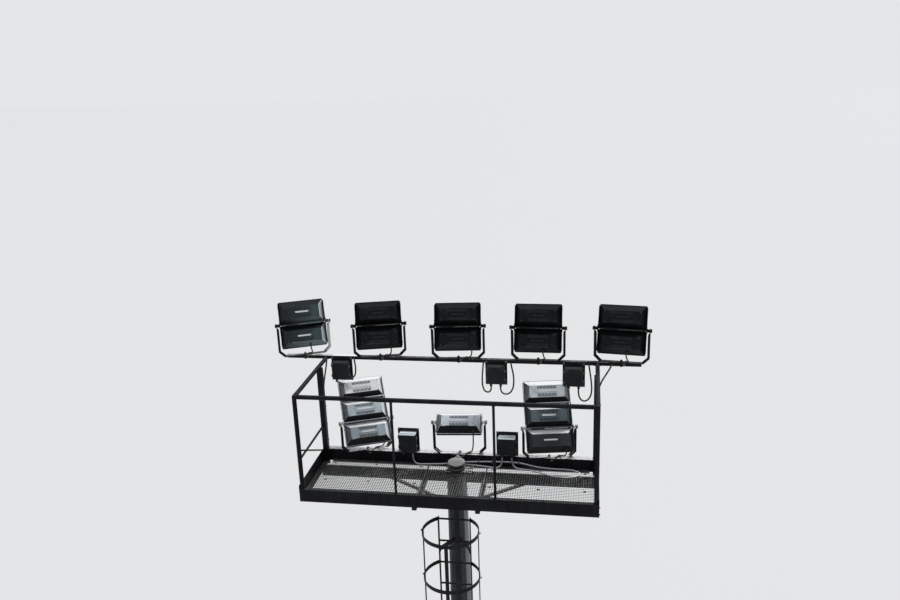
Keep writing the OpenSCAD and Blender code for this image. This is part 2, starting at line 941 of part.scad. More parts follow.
module lamp_2() {
    lamp(1);
}

module lamp_3() {
    lamp(2);
}

module lamp_4() {
    lamp(3);
}

module lamp_5() {
    lamp(4);
}

module lamp_6() {
    lamp(5);
}

module lamp_7() {
    lamp(6);
}

module lamp_8() {
    lamp(7);
}

// A tube swept along route points: rings of cable_sides corners, capped at both ends
module cable(route) {
    n = len(route);
    dirs = [for (i = [0 : n - 1]) let (a = route[max(i - 1, 0)], b = route[min(i + 1, n - 1)]) (b - a) / norm(b - a)];
    sides = [for (d = dirs) let (c = cross(d, [0, 1, 0.02])) c / norm(c)];
    ups = [for (i = [0 : n - 1]) cross(sides[i], dirs[i])];
    points = [
        for (i = [0 : n - 1])
            for (k = [0 : cable_sides - 1])
                let (a = 360 * k / cable_sides)
                    route[i] + cable_r * (cos(a) * sides[i] + sin(a) * ups[i])
    ];
    faces = [
        for (i = [0 : n - 2])
            for (k = [0 : cable_sides - 1])
                let (a = i * cable_sides + k, b = i * cable_sides + (k + 1) % cable_sides)
                    [b, a, a + cable_sides, b + cable_sides]
    ];
    start_cap = [[for (k = [0 : cable_sides - 1]) k]];
    end_cap = [[for (k = [0 : cable_sides - 1]) n * cable_sides - 1 - k]];
    polyhedron(points = points, faces = concat(faces, start_cap, end_cap), convexity = 8);
}

// Loops from the glands of the hanging boxes up to the rear face of the arm, and the cables
// from the arm down behind the front posts to the lower arm
gland_foot_upper = upper_box_z + box_rise + lid_lip - gland_h;
side_gland_x = upper_boxes[0] + box_w / 2 - lid_lip + gland_h;
side_gland_z = upper_box_z + box_rise + side_gland_up;
cable_y = upper_arm_y - upper_arm_d / 2 - gland_y;
arm_under = upper_arm_z - upper_arm_h / 2;
upper_routes = [
    [[380, cable_y, gland_foot_upper], [380, cable_y, 882], [366, 300, 852], [340, 306, 838], [308, 314, 848],
     [284, 326, 890], [276, 336, 960], [280, 340, 1060], [288, 342, 1140], [292, 350, 1180], [292, 373, 1180]],
    [[490, cable_y, gland_foot_upper], [490, cable_y, 880], [506, 296, 842], [540, 294, 826], [584, 292, 836],
     [620, 292, 880], [638, 296, 960], [634, 306, 1060], [616, 324, 1140], [606, 346, 1180], [606, 373, 1180]],
    [[1364, cable_y, gland_foot_upper], [1364, cable_y, 870], [1376, 304, 810], [1404, 308, 772], [1444, 312, 766],
     [1486, 320, 800], [1508, 330, 880], [1504, 338, 980], [1488, 342, 1100], [1476, 350, 1180], [1476, 373, 1180]],
    [[side_gland_x, cable_y, side_gland_z], [side_gland_x + 14, cable_y, side_gland_z], [-1226, 300, 984],
     [-1212, 308, 1012], [-1208, 322, 1060], [-1214, 338, 1120], [-1222, 346, 1160], [-1226, 354, 1180],
     [-1226, 373, 1180]],
    [[-1576, 398, arm_under], [-1576, 398, arm_under - 24], [-1574, 372, 1104], [-1570, 300, 1030],
     [-1566, 220, 950], [-1562, 160, 850], [-1558, 132, 720], [-1558, 132, 400], [-1558, 132, lower_top]],
    [[1720, 373, 1180], [1720, 352, 1180], [1708, 328, 1162], [1664, 262, 1112], [1608, 190, 1036],
     [1576, 148, 930], [1564, 132, 800], [1564, 132, 400], [1564, 132, lower_top]]
];

module cables_upper() {
    color(cable_black)
        translate([0, 0, floor_z])
            for (r = upper_routes)
                cable(r);
}

// Cables from the glands of the standing boxes down to the floor and along it to the pole
gland_foot_lower = lower_top + box_rise + lid_lip - gland_h;
floor_cable_y = lower_box_y - gland_y;
lie_z = cable_r - 4;
lower_routes = [
    [[-524, floor_cable_y, gland_foot_lower], [-524, floor_cable_y, 120], [-518, 86, 60], [-500, 82, 24],
     [-460, 80, lie_z], [-380, 84, lie_z], [-300, 92, lie_z], [-220, 100, lie_z], [-150, 107, 8], [-110, 107, 12],
     [-58, 107, 12]],
    [[514, floor_cable_y, gland_foot_lower], [514, floor_cable_y, 120], [506, 84, 60], [490, 78, 24],
     [450, 74, lie_z], [380, 76, lie_z], [300, 92, lie_z], [220, 102, lie_z], [150, 107, 8], [110, 107, 10],
     [58, 107, 10]],
    [[624, floor_cable_y, gland_foot_lower], [624, floor_cable_y, 120], [634, 86, 60], [660, 76, 20],
     [720, 66, lie_z], [820, 50, lie_z], [940, 4, lie_z], [1060, -50, lie_z], [1180, -78, lie_z],
     [1290, -70, lie_z], [1372, -28, lie_z], [1390, 20, lie_z], [1350, 70, lie_z], [1260, 98, lie_z],
     [1100, 104, lie_z], [900, 106, 20], [700, 107, 60], [400, 107, 60], [200, 107, 50], [110, 107, 44], [58, 107, 44]]
];

module cables_lower() {
    color(cable_black)
        translate([0, 0, floor_z])
            for (r = lower_routes)
                cable(r);
}

base_flange();
pole_lower();
pole_middle();
pole_upper();
head_spigot();
head_bracket();
service_door();
ladder_lower();
ladder_middle();
ladder_upper();
cage_lower();
cage_middle();
cage_upper();
main_beam();
hatch_bearers();
under_braces();
frame_rear();
frame_left();
frame_right();
floor_left();
floor_middle();
floor_right();
guardrail_rear();
guardrail_left();
guardrail_right();
upper_arm();
lower_arm();
gear_boxes_upper();
gear_boxes_lower();
yoke_1();
yoke_2();
yoke_3();
yoke_4();
yoke_5();
yoke_6();
yoke_7();
yoke_8();
lamp_1();
lamp_2();
lamp_3();
lamp_4();
lamp_5();
lamp_6();
lamp_7();
lamp_8();
cables_upper();
cables_lower();
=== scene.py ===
"""Looks of the stadium floodlight pylon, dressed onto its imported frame."""

import json
import logging
import math
from collections.abc import Callable, Iterable, Mapping, Sequence
from dataclasses import dataclass
from enum import Enum

import bmesh
import bpy
from mathutils import Matrix, Vector
from mathutils.geometry import interpolate_bezier


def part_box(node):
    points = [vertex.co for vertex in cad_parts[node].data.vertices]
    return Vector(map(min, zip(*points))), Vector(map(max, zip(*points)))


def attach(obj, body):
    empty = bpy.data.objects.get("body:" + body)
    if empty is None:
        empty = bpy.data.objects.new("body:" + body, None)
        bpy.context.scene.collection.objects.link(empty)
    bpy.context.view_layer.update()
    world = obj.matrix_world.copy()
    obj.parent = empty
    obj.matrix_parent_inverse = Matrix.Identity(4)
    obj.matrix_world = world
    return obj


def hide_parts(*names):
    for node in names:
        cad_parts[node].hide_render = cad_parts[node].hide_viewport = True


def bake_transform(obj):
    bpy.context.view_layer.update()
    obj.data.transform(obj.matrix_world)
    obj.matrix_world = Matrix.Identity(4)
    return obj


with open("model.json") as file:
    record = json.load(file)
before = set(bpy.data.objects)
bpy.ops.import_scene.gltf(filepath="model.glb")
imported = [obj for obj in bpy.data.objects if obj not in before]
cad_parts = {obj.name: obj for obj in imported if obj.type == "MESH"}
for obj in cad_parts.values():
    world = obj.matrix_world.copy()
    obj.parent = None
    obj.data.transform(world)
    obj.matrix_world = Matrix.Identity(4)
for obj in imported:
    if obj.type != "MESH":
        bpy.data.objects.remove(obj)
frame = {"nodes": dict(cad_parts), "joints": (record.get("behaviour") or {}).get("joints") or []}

Colour = tuple[float, float, float]
Point = tuple[float, float, float]
Span = tuple[float, float]
Pair = tuple[float, float]
Piece = bpy.types.Object
Finish = bpy.types.Material
Pick = Callable[[Vector, Vector], bool]

log = logging.getLogger("pylon")
JOINTS = {joint["name"]: joint for joint in frame["joints"]}
ROOT = "pylon"
FLOOR = 24.5
MODULE_PITCH = 0.280
UP, DOWN = (0, 0, 1), (0, 0, -1)
AHEAD, BACK = (0, 1, 0), (0, -1, 0)
SIDES = (-1, 1)


class Row(Enum):
    """The two arms that the lamps stand on."""

    UPPER = "upper"
    LOWER = "lower"


@dataclass(frozen=True)
class Lamp:
    """How one lamp is made up and aimed. Its pivots come from the frame's joints."""

    number: int
    row: Row
    tilt: float
    modules: int = 2
    above: float = 1

    @property
    def body(self) -> str:
        """Name of the CAD body that tilts."""
        return f"lamp_{self.number}"

    @property
    def yoke(self) -> str:
        """Name of the CAD body that turns about the upright bolt."""
        return f"yoke_{self.number}"

    @property
    def slot(self) -> str:
        """The material slot of the lamp's housing."""
        return "lamp_dark" if self.row is Row.UPPER else "lamp_pale"

    @property
    def yoke_slot(self) -> str:
        """The material slot of the lamp's yoke."""
        return "yoke_dark" if self.row is Row.UPPER else "yoke_zinc"

    @property
    def pan(self) -> float:
        """Turn about the upright bolt, in radians."""
        axis = JOINTS[f"{self.body}_tilt"]["axis"]
        return math.atan2(axis[1], axis[0])

    @property
    def foot(self) -> Matrix:
        """Place of the yoke: origin at the middle of its foot, turned with it."""
        at = Vector(JOINTS[f"{self.yoke}_turn"]["pos_m"])
        return Matrix.Translation(at) @ Matrix.Rotation(self.pan, 4, "Z")

    @property
    def head(self) -> Matrix:
        """Place of the lamp: origin on the tilting axis, aim along +Y.

        Returns:
            The matrix from the lamp's own frame to the shared one, at rest.
        """
        at = Vector(JOINTS[f"{self.body}_tilt"]["pos_m"])
        turn = Matrix.Rotation(self.pan, 4, "Z") @ Matrix.Rotation(math.radians(-self.tilt), 4, "X")
        return Matrix.Translation(at) @ turn

    @property
    def centres(self) -> list[Matrix]:
        """Places of the lamp's modules, from the top down."""
        heights = [(self.above - k - 0.5) * MODULE_PITCH for k in range(self.modules)]
        return [self.head @ Matrix.Translation((0, 0, z)) for z in heights]


LAMPS = (
    *(Lamp(number, Row.UPPER, 25) for number in range(1, 6)),
    Lamp(6, Row.LOWER, 44, modules=3, above=2),
    Lamp(7, Row.LOWER, 56, modules=1, above=0.5),
    Lamp(8, Row.LOWER, 38, modules=3, above=2),
)


def lifted(at: Sequence[float]) -> Point:
    """A point given above the platform's floor, in the shared frame."""
    return at[0], at[1], at[2] + FLOOR


def faces_up(_centre: Vector, normal: Vector) -> bool:
    """Picks the faces that look up."""
    return normal.z > 0.9


class Bench:
    """The modelling bench: operators on one object at a time, all else deselected."""

    @staticmethod
    def only(piece: Piece) -> Piece:
        """Leaves one piece selected and active, and returns it.

        Args:
            piece: the object to work on.

        Returns:
            The same object.
        """
        bpy.ops.object.select_all(action="DESELECT")
        piece.select_set(True)
        bpy.context.view_layer.objects.active = piece
        return piece

    @classmethod
    def primitive(cls, add: Callable[..., object], **settings: object) -> Piece:
        """Adds a primitive, and writes its place and scale into the mesh.

        Args:
            add: the operator that adds it.
            **settings: the operator's own settings.

        Returns:
            The new object, at the origin, unturned and unscaled.
        """
        bpy.ops.object.select_all(action="DESELECT")
        add(**settings)
        piece = cls.only(bpy.context.object)
        bpy.ops.object.transform_apply(location=True, rotation=True, scale=True)
        return piece

    @classmethod
    def edit(cls, piece: Piece, *steps: Callable[[], object], pick: Pick | None = None) -> Piece:
        """Runs edit-mode operators on some faces, or on the whole mesh.

        Args:
            piece: the object to shape.
            steps: calls of mesh operators, run in order.
            pick: says by a face's middle and normal whether it is selected.

        Returns:
            The same object, back in object mode.
        """
        cls.only(piece)
        bpy.ops.object.mode_set(mode="EDIT")
        bpy.ops.mesh.select_mode(type="FACE")
        bpy.ops.mesh.select_all(action="DESELECT" if pick else "SELECT")
        if pick:
            shape = bmesh.from_edit_mesh(piece.data)
            for face in shape.faces:
                face.select_set(pick(face.calc_center_median(), face.normal))
            bmesh.update_edit_mesh(piece.data)
        for step in steps:
            step()
        bpy.ops.object.mode_set(mode="OBJECT")
        return piece

    @classmethod
    def block(cls, size: Sequence[float], at: Sequence[float] = (0, 0, 0), bevel: float = 0.0) -> Piece:
        """A block of that size with its edges broken by a bevel.

        Args:
            size: its size along X, Y and Z.
            at: its middle.
            bevel: width of the bevel, 0 for none.

        Returns:
            The block.
        """
        piece = cls.primitive(bpy.ops.mesh.primitive_cube_add, size=1, location=at, scale=size)
        if bevel:
            cls.edit(piece, lambda: bpy.ops.mesh.bevel(offset=bevel, segments=1, affect="EDGES"))
        return piece

    @classmethod
    def bar(cls, radius: float, low: float, high: float, sides: int = 16, bevel: float = 0.0) -> Piece:
        """An upright round bar between two heights, with its end edges broken.

        Args:
            radius: radius out to its corners.
            low: height of its foot.
            high: height of its head.
            sides: number of sides round it.
            bevel: width of the bevel, 0 for none.

        Returns:
            The bar, with its middle line on the Z axis.
        """
        add, middle = bpy.ops.mesh.primitive_cylinder_add, (0, 0, (low + high) / 2)
        piece = cls.primitive(add, vertices=sides, radius=radius, depth=high - low, location=middle)
        return cls.soften(piece, bevel) if bevel else piece

    @classmethod
    def soften(cls, piece: Piece, width: float) -> Piece:
        """Breaks the sharp edges with an applied bevel modifier.

        Args:
            piece: the object to finish.
            width: width of the bevel.

        Returns:
            The same object.
        """
        cls.only(piece)
        bevel = piece.modifiers.new("broken_edges", "BEVEL")
        bevel.width = width
        bevel.segments = 2
        bevel.angle_limit = math.radians(50)
        bpy.ops.object.modifier_apply(modifier=bevel.name)
        return piece

    @classmethod
    def smooth(cls, piece: Piece, angle: float = 35.0) -> Piece:
        """Shades smooth, keeping edges sharper than the angle.

        Args:
            piece: the object to shade.
            angle: the angle in degrees.

        Returns:
            The same object.
        """
        cls.only(piece)
        bpy.ops.object.shade_smooth_by_angle(angle=math.radians(angle))
        return piece

    @classmethod
    def join(cls, pieces: Sequence[Piece], name: str) -> Piece:
        """Joins the pieces into one object of that name.

        Args:
            pieces: the objects, of which the first one stays.
            name: its new name.

        Returns:
            The joined object.
        """
        first = cls.only(pieces[0])
        for piece in pieces[1:]:
            piece.select_set(True)
        if len(pieces) > 1:
            bpy.ops.object.join()
        first.name = name
        first.data.name = name
        return first

    @classmethod
    def moved(cls, piece: Piece, place: Matrix) -> Piece:
        """Moves the mesh of a piece, and turns it right side out after a mirror.

        Args:
            piece: the object to move.
            place: where its own frame goes.

        Returns:
            The same object.
        """
        piece.data.transform(place)
        if place.determinant() < 0:
            piece.data.flip_normals()
        return piece

    @staticmethod
    def copy(piece: Piece) -> Piece:
        """A copy of a piece with its own mesh.

        Args:
            piece: the object to copy.

        Returns:
            The new object.
        """
        twin = piece.copy()
        twin.data = piece.data.copy()
        bpy.context.collection.objects.link(twin)
        return twin

    @classmethod
    def repeat(cls, pattern: Piece, places: Iterable[Matrix], name: str) -> Piece:
        """Copies a finished pattern to each place, joins the copies and removes the pattern.

        Args:
            pattern: the finished object.
            places: where each copy goes.
            name: name of the result.

        Returns:
            All copies as one object.
        """
        copies = [cls.moved(cls.copy(pattern), place) for place in places]
        bpy.data.objects.remove(pattern)
        return cls.join(copies, name)

    @classmethod
    def tube(cls, points: Sequence[Point], radius: float, name: str, sides: int) -> Piece:
        """A round tube along a smooth curve through the points, its ends closed.

        Args:
            points: what its middle line passes through.
            radius: its radius.
            name: its name.
            sides: number of sides round it.

        Returns:
            The tube as a mesh, shaded smooth.
        """
        line = bpy.data.curves.new(name, "CURVE")
        line.dimensions = "3D"
        line.bevel_depth = radius
        line.bevel_resolution = (sides - 4) // 2
        line.use_fill_caps = True
        line.resolution_u = 6
        spline = line.splines.new("BEZIER")
        spline.bezier_points.add(len(points) - 1)
        for knot, point in zip(spline.bezier_points, points):
            knot.co = point
            knot.handle_left_type = knot.handle_right_type = "AUTO"
        piece = bpy.data.objects.new(name, line)
        bpy.context.collection.objects.link(piece)
        cls.only(piece)
        bpy.ops.object.convert(target="MESH")
        return cls.smooth(bpy.context.object, 60)

    @staticmethod
    def sweep(start: Vector, leave: Vector, end: Vector, arrive: Vector, count: int) -> list[Vector]:
        """Points of one smooth curve that leaves start and arrives at end along the two vectors."""
        return interpolate_bezier(start, start + leave, end - arrive, end, count)

    @staticmethod
    def stand(at: Sequence[float], along: Sequence[float] = UP) -> Matrix:
        """A place at a point, with the pattern's +Z turned to a direction."""
        turn = Vector(along).to_track_quat("Z", "Y").to_matrix().to_4x4()
        return Matrix.Translation(Vector(at)) @ turn

    @staticmethod
    def dress(piece: Piece, finish: Finish) -> Piece:
        """Gives the piece one material.

        Args:
            piece: the object to dress.
            finish: its only material.

        Returns:
            The same object.
        """
        piece.data.materials.clear()
        piece.data.materials.append(finish)
        return piece

    @classmethod
    def mount(cls, piece: Piece, slot: str, finish: Finish | None = None, body: str = ROOT) -> Piece:
        """Lets a finished piece ride on a body, and names the slot of its finish.

        Args:
            piece: the finished object.
            slot: the record's slot for its material.
            finish: its material, or none when it has been dressed before.
            body: the body that it rides on.

        Returns:
            The same object.
        """
        if finish:
            cls.dress(piece, finish)
        log.info("piece: %s, on %s, slot %s", piece.name, body, slot)
        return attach(piece, body)


class Hardware:
    """Patterns of small fasteners, each standing on z = 0 and pointing up."""

    @staticmethod
    def hex_bolt(across: float, stud: float = 0.0) -> Piece:
        """A hexagon nut or head on its washer, with the end of the stud above it.

        Args:
            across: width over its flats.
            stud: how far the stud stands out above it.

        Returns:
            The pattern.
        """
        head = Bench.bar(across / math.sqrt(3), 0.12 * across, 0.75 * across, sides=6)
        tip = {"value": (0, 0, 0.04 * across + stud)}
        Bench.edit(
            head,
            lambda: bpy.ops.mesh.inset(thickness=0.12 * across),
            lambda: bpy.ops.mesh.extrude_region_move(TRANSFORM_OT_translate=tip),
            lambda: bpy.ops.transform.resize(value=(0.75, 0.75, 1)),
            pick=faces_up,
        )
        washer = Bench.bar(0.95 * across, 0, 0.14 * across)
        Bench.edit(washer, lambda: bpy.ops.mesh.inset(thickness=0.05 * across), pick=faces_up)
        return Bench.join([head, washer], "hex_bolt")

    @staticmethod
    def pan_screw(radius: float) -> Piece:
        """A low round screw head with a sunk socket.

        Args:
            radius: radius of the head.

        Returns:
            The pattern.
        """
        return Bench.edit(
            Bench.bar(radius, 0, 0.55 * radius, sides=12),
            lambda: bpy.ops.mesh.inset(thickness=0.35 * radius),
            lambda: bpy.ops.mesh.inset(thickness=0.15 * radius, depth=-0.3 * radius),
            pick=faces_up,
        )

    @staticmethod
    def gland(radius: float, length: float) -> Piece:
        """A cable gland: hexagon body and domed nut, its cable end at the top.

        Args:
            radius: what its body and nut are sized by.
            length: from its root to its cable end.

        Returns:
            The pattern.
        """
        body = Bench.bar(1.2 * radius, 0, 0.4 * length, sides=6)
        nut = Bench.bar(1.1 * radius, 0.4 * length, 0.8 * length, sides=12)
        dome = {"value": (0, 0, 0.2 * length)}
        Bench.edit(
            nut,
            lambda: bpy.ops.mesh.extrude_region_move(TRANSFORM_OT_translate=dome),
            lambda: bpy.ops.transform.resize(value=(0.7, 0.7, 1)),
            pick=faces_up,
        )
        return Bench.join([body, nut], "gland")

    @staticmethod
    def name_plate(width: float, height: float) -> Piece:
        """A thin bare plate with a raised rim and a rivet near each end.

        Args:
            width: its size along X.
            height: its size along Y.

        Returns:
            The pattern.
        """
        plate = Bench.block((width, height, 0.0012), (0, 0, 0.0006), bevel=0.0003)
        Bench.edit(plate, lambda: bpy.ops.mesh.inset(thickness=0.0015, depth=-0.0003), pick=faces_up)
        places = [Matrix.Translation((side * (width / 2 - 0.006), 0, 0.0008)) for side in SIDES]
        return Bench.join([plate, Bench.repeat(Hardware.pan_screw(0.0022), places, "rivets")], "name_plate")

    @staticmethod
    def clamp(radius: float, stand_off: float) -> Piece:
        """A cable clamp: foot plate, saddle over a cable along Y at that height, and two screws.

        Args:
            radius: radius of the cable.
            stand_off: height of the cable's middle line.

        Returns:
            The pattern.
        """
        thick = 0.003
        foot = Bench.block((6 * radius, 1.9 * radius, thick), (0, 0, thick / 2), bevel=0.0006)
        top = stand_off + radius + thick
        size, middle = (2.7 * radius, 1.5 * radius, top - 0.002), (0, 0, top / 2 + 0.001)
        saddle = Bench.block(size, middle, bevel=0.25 * radius)
        places = [Matrix.Translation((side * 2.2 * radius, 0, thick)) for side in SIDES]
        screws = Bench.repeat(Hardware.pan_screw(0.42 * radius), places, "clamp_screws")
        return Bench.join([foot, saddle, screws], "clamp")

    @staticmethod
    def weld_ring(radius: float, bead: float) -> Piece:
        """A fillet weld round a tube that stands on z = 0."""
        add, steps = bpy.ops.mesh.primitive_torus_add, {"major_segments": 32, "minor_segments": 6}
        return Bench.primitive(add, major_radius=radius, minor_radius=bead, **steps)


@dataclass(frozen=True)
class Wire:
    """An output socket that can be used in sums; an expression adds its Math nodes."""

    paint: "Paint"
    socket: bpy.types.NodeSocket

    def maths(self, operation: str, first: object, second: object = 0.0) -> "Wire":
        """Adds one Math node on two values or wires."""
        return self.paint.node("Math", {"operation": operation}, {0: first, 1: second})

    def __add__(self, other: object) -> "Wire":
        """Sum."""
        return self.maths("ADD", self, other)

    __radd__ = __add__

    def __sub__(self, other: object) -> "Wire":
        """Difference."""
        return self.maths("SUBTRACT", self, other)

    def __rsub__(self, other: object) -> "Wire":
        """Difference, with the wire on the right."""
        return self.maths("SUBTRACT", other, self)

    def __mul__(self, other: object) -> "Wire":
        """Product."""
        return self.maths("MULTIPLY", self, other)

    __rmul__ = __mul__

    def sine(self) -> "Wire":
        """Sine, of an angle in radians."""
        return self.maths("SINE", self)

    def at_least(self, other: object) -> "Wire":
        """The larger of the two."""
        return self.maths("MAXIMUM", self, other)

    def step(self, low: float, high: float) -> "Wire":
        """0 below low, 1 above high and smooth between."""
        settings = {"interpolation_type": "SMOOTHSTEP"}
        return self.paint.node("MapRange", settings, {0: self, 1: low, 2: high, 3: 0.0, 4: 1.0})

    def within(self, start: float, end: float, blur: float) -> "Wire":
        """1 between start and end, 0 outside."""
        return self.step(start, start + blur) * (1 - self.step(end - blur, end))


class Paint:
    """One material being made: its node tree, its shader and the ways to add to it."""

    def __init__(self, name: str) -> None:
        """Starts a material of that name with a bare Principled shader.

        Args:
            name: name of the material.
        """
        self.material = bpy.data.materials.new(name)
        self.material.use_nodes = True
        self.tree = self.material.node_tree
        self.tree.nodes.clear()
        self.shader = self.tree.nodes.new("ShaderNodeBsdfPrincipled")
        output = self.tree.nodes.new("ShaderNodeOutputMaterial")
        self.tree.links.new(self.shader.outputs[0], output.inputs[0])

    def feed(self, socket: bpy.types.NodeSocket, value: object) -> None:
        """Links a wire to a socket, or sets the socket's own value.

        Args:
            socket: the input to feed.
            value: a wire, a number, a vector or a colour.
        """
        if isinstance(value, Wire):
            self.tree.links.new(value.socket, socket)
        elif socket.type == "RGBA" and len(value) == 3:
            socket.default_value = (*value, 1.0)
        else:
            socket.default_value = value

    def node(
        self, kind: str, settings: Mapping[str, object], inputs: Mapping[object, object], output: object = 0
    ) -> Wire:
        """Adds any node.

        Args:
            kind: the node's type, without the prefix that all share.
            settings: its own settings, set first.
            inputs: the values or wires of its sockets, by number or name.
            output: the socket that is returned, by number or name.

        Returns:
            The wire of that output.
        """
        made = self.tree.nodes.new(f"ShaderNode{kind}")
        for key, value in settings.items():
            setattr(made, key, value)
        for key, value in inputs.items():
            self.feed(made.inputs[key], value)
        return Wire(self, made.outputs[output])

    def place(self) -> Wire:
        """The point on the piece, in the shared frame at rest."""
        return self.node("TexCoord", {}, {}, "Object")

    def facing(self) -> Wire:
        """The direction the surface faces, in the shared frame at rest."""
        return self.node("TexCoord", {}, {}, "Normal")

    def undo(self, vector: Wire, place: Matrix) -> Wire:
        """Takes a vector of the shared frame back to the frame of a placed part."""
        inputs = {"Vector": vector, "Location": place.translation, "Rotation": place.to_euler("XYZ")}
        return self.node("Mapping", {"vector_type": "TEXTURE"}, inputs)

    def stretch(self, vector: Wire, scale: Point) -> Wire:
        """Scales a vector by axis."""
        return self.node("VectorMath", {"operation": "MULTIPLY"}, {0: vector, 1: scale})

    def axis(self, vector: Wire, name: str) -> Wire:
        """One axis of a vector."""
        return self.node("SeparateXYZ", {}, {0: vector}, name)

    def noise(self, vector: Wire, scale: float, detail: float = 4.0, roughness: float = 0.55) -> Wire:
        """Cloudy noise from 0 to 1."""
        inputs = {"Vector": vector, "Scale": scale, "Detail": detail, "Roughness": roughness}
        return self.node("TexNoise", {}, inputs)

    def cells(self, vector: Wire, scale: float) -> Wire:
        """Flat cells of random brightness, such as zinc spangle."""
        cell = self.node("TexVoronoi", {}, {"Vector": vector, "Scale": scale}, "Color")
        return self.node("SeparateColor", {}, {0: cell})

    def mix(self, share: object, first: object, second: object) -> Wire:
        """Mixes two colours."""
        return self.node("Mix", {"data_type": "RGBA"}, {0: share, 6: first, 7: second}, 2)

    def bump(self, height: Wire, distance: float) -> None:
        """Feeds a height to the shader's normal."""
        inputs = {"Height": height, "Distance": distance, "Strength": 1.0}
        self.set(Normal=self.node("Bump", {}, inputs))

    def set(self, **values: object) -> None:
        """Feeds sockets of the shader; an underscore in a name stands for a space."""
        for name, value in values.items():
            self.feed(self.shader.inputs[name.replace("_", " ")], value)


@dataclass(frozen=True)
class Steel:
    """Weathered steel: mottled zinc or paint, rain streaks, dust and painted light on top, and rust in
    specks.

    The optional fields paint light onto one part of the frame they hold, onto the faces that look to +X and
    onto a stretch of the top between two X values, and make the part above a height paler.
    """

    name: str
    shade: Colour
    worn: Colour
    rust: float = 0.25
    # dust: the share of dust and of painted light on the faces that look up.
    dust: float = 0.25
    roughness: float = 0.5
    spangle: float = 0.0
    shine: float = 0.5
    # The colour of dust and of painted light on the faces it reaches.
    dust_and_light: Colour = (0.33, 0.33, 0.31)
    lit_part: Matrix | None = None
    lit_part_tops_only: bool = False
    pale_above: float | None = None
    lit_side: Colour | None = None
    lit_top: Span | None = None

    METAL = 0.5
    RUST = (0.16, 0.065, 0.028)
    WHITE = (0.97, 0.97, 0.98)

    def mix(self) -> Finish:
        """Makes the material.

        Returns:
            The finished material.
        """
        paint = Paint(self.name)
        at = paint.place()
        clouds = paint.noise(at, 3.1, 6, 0.62)
        grain = paint.noise(at, 46, 5, 0.6)
        streak = paint.noise(paint.stretch(at, (26, 26, 1.1)), 1, 4, 0.6)
        worn = (clouds * 0.55 + grain * 0.3 + streak * 0.3).step(0.46, 0.78)
        colour = paint.mix(worn, self.shade, self.worn)
        if self.spangle:
            flakes = paint.cells(at, 55) * self.spangle
            colour = paint.mix(flakes, colour, tuple(min(1, 1.5 * c) for c in self.worn))
        # Faces that look up turn pale: dust, and painted light where the dust share is large.
        top = paint.axis(paint.facing(), "Z").step(0.35, 0.95)
        colour = paint.mix(top * grain.step(0.3, 0.7) * self.dust, colour, self.dust_and_light)
        # Painted light on the part of that frame beyond X = 0.2, either on its tops alone or nearly all over.
        if self.lit_part:
            side = paint.axis(paint.undo(at, self.lit_part), "X").step(0.20, 0.27)
            colour = paint.mix(side * (top if self.lit_part_tops_only else 0.95), colour, self.dust_and_light)
        if self.pale_above:
            pale = paint.axis(at, "Z").step(self.pale_above - 0.001, self.pale_above + 0.001)
            colour = paint.mix(pale * (0.75 + grain * 0.25), colour, self.dust_and_light)
        if self.lit_side:
            lit = paint.axis(paint.facing(), "X").step(0.35, 0.95)
            colour = paint.mix(lit * (0.6 + grain * 0.3), colour, self.lit_side)
        if self.lit_top:
            bare = paint.axis(at, "X").within(*self.lit_top, 0.01) * top
            colour = paint.mix(bare, colour, self.WHITE)
        specks = (paint.noise(at, 17, 8, 0.75) * 0.7 + streak * 0.35).step(0.63, 0.7)
        colour = paint.mix(specks * self.rust, colour, self.RUST)
        paint.set(Base_Color=colour, Roughness=self.roughness + worn * 0.12 + specks * 0.2)
        paint.set(Metallic=self.METAL * (1 - specks) * (1 - top * 0.5), Specular_IOR_Level=self.shine)
        paint.bump(grain * 0.6 + specks * 0.8 + streak * 0.2, 0.0006)
        return paint.material


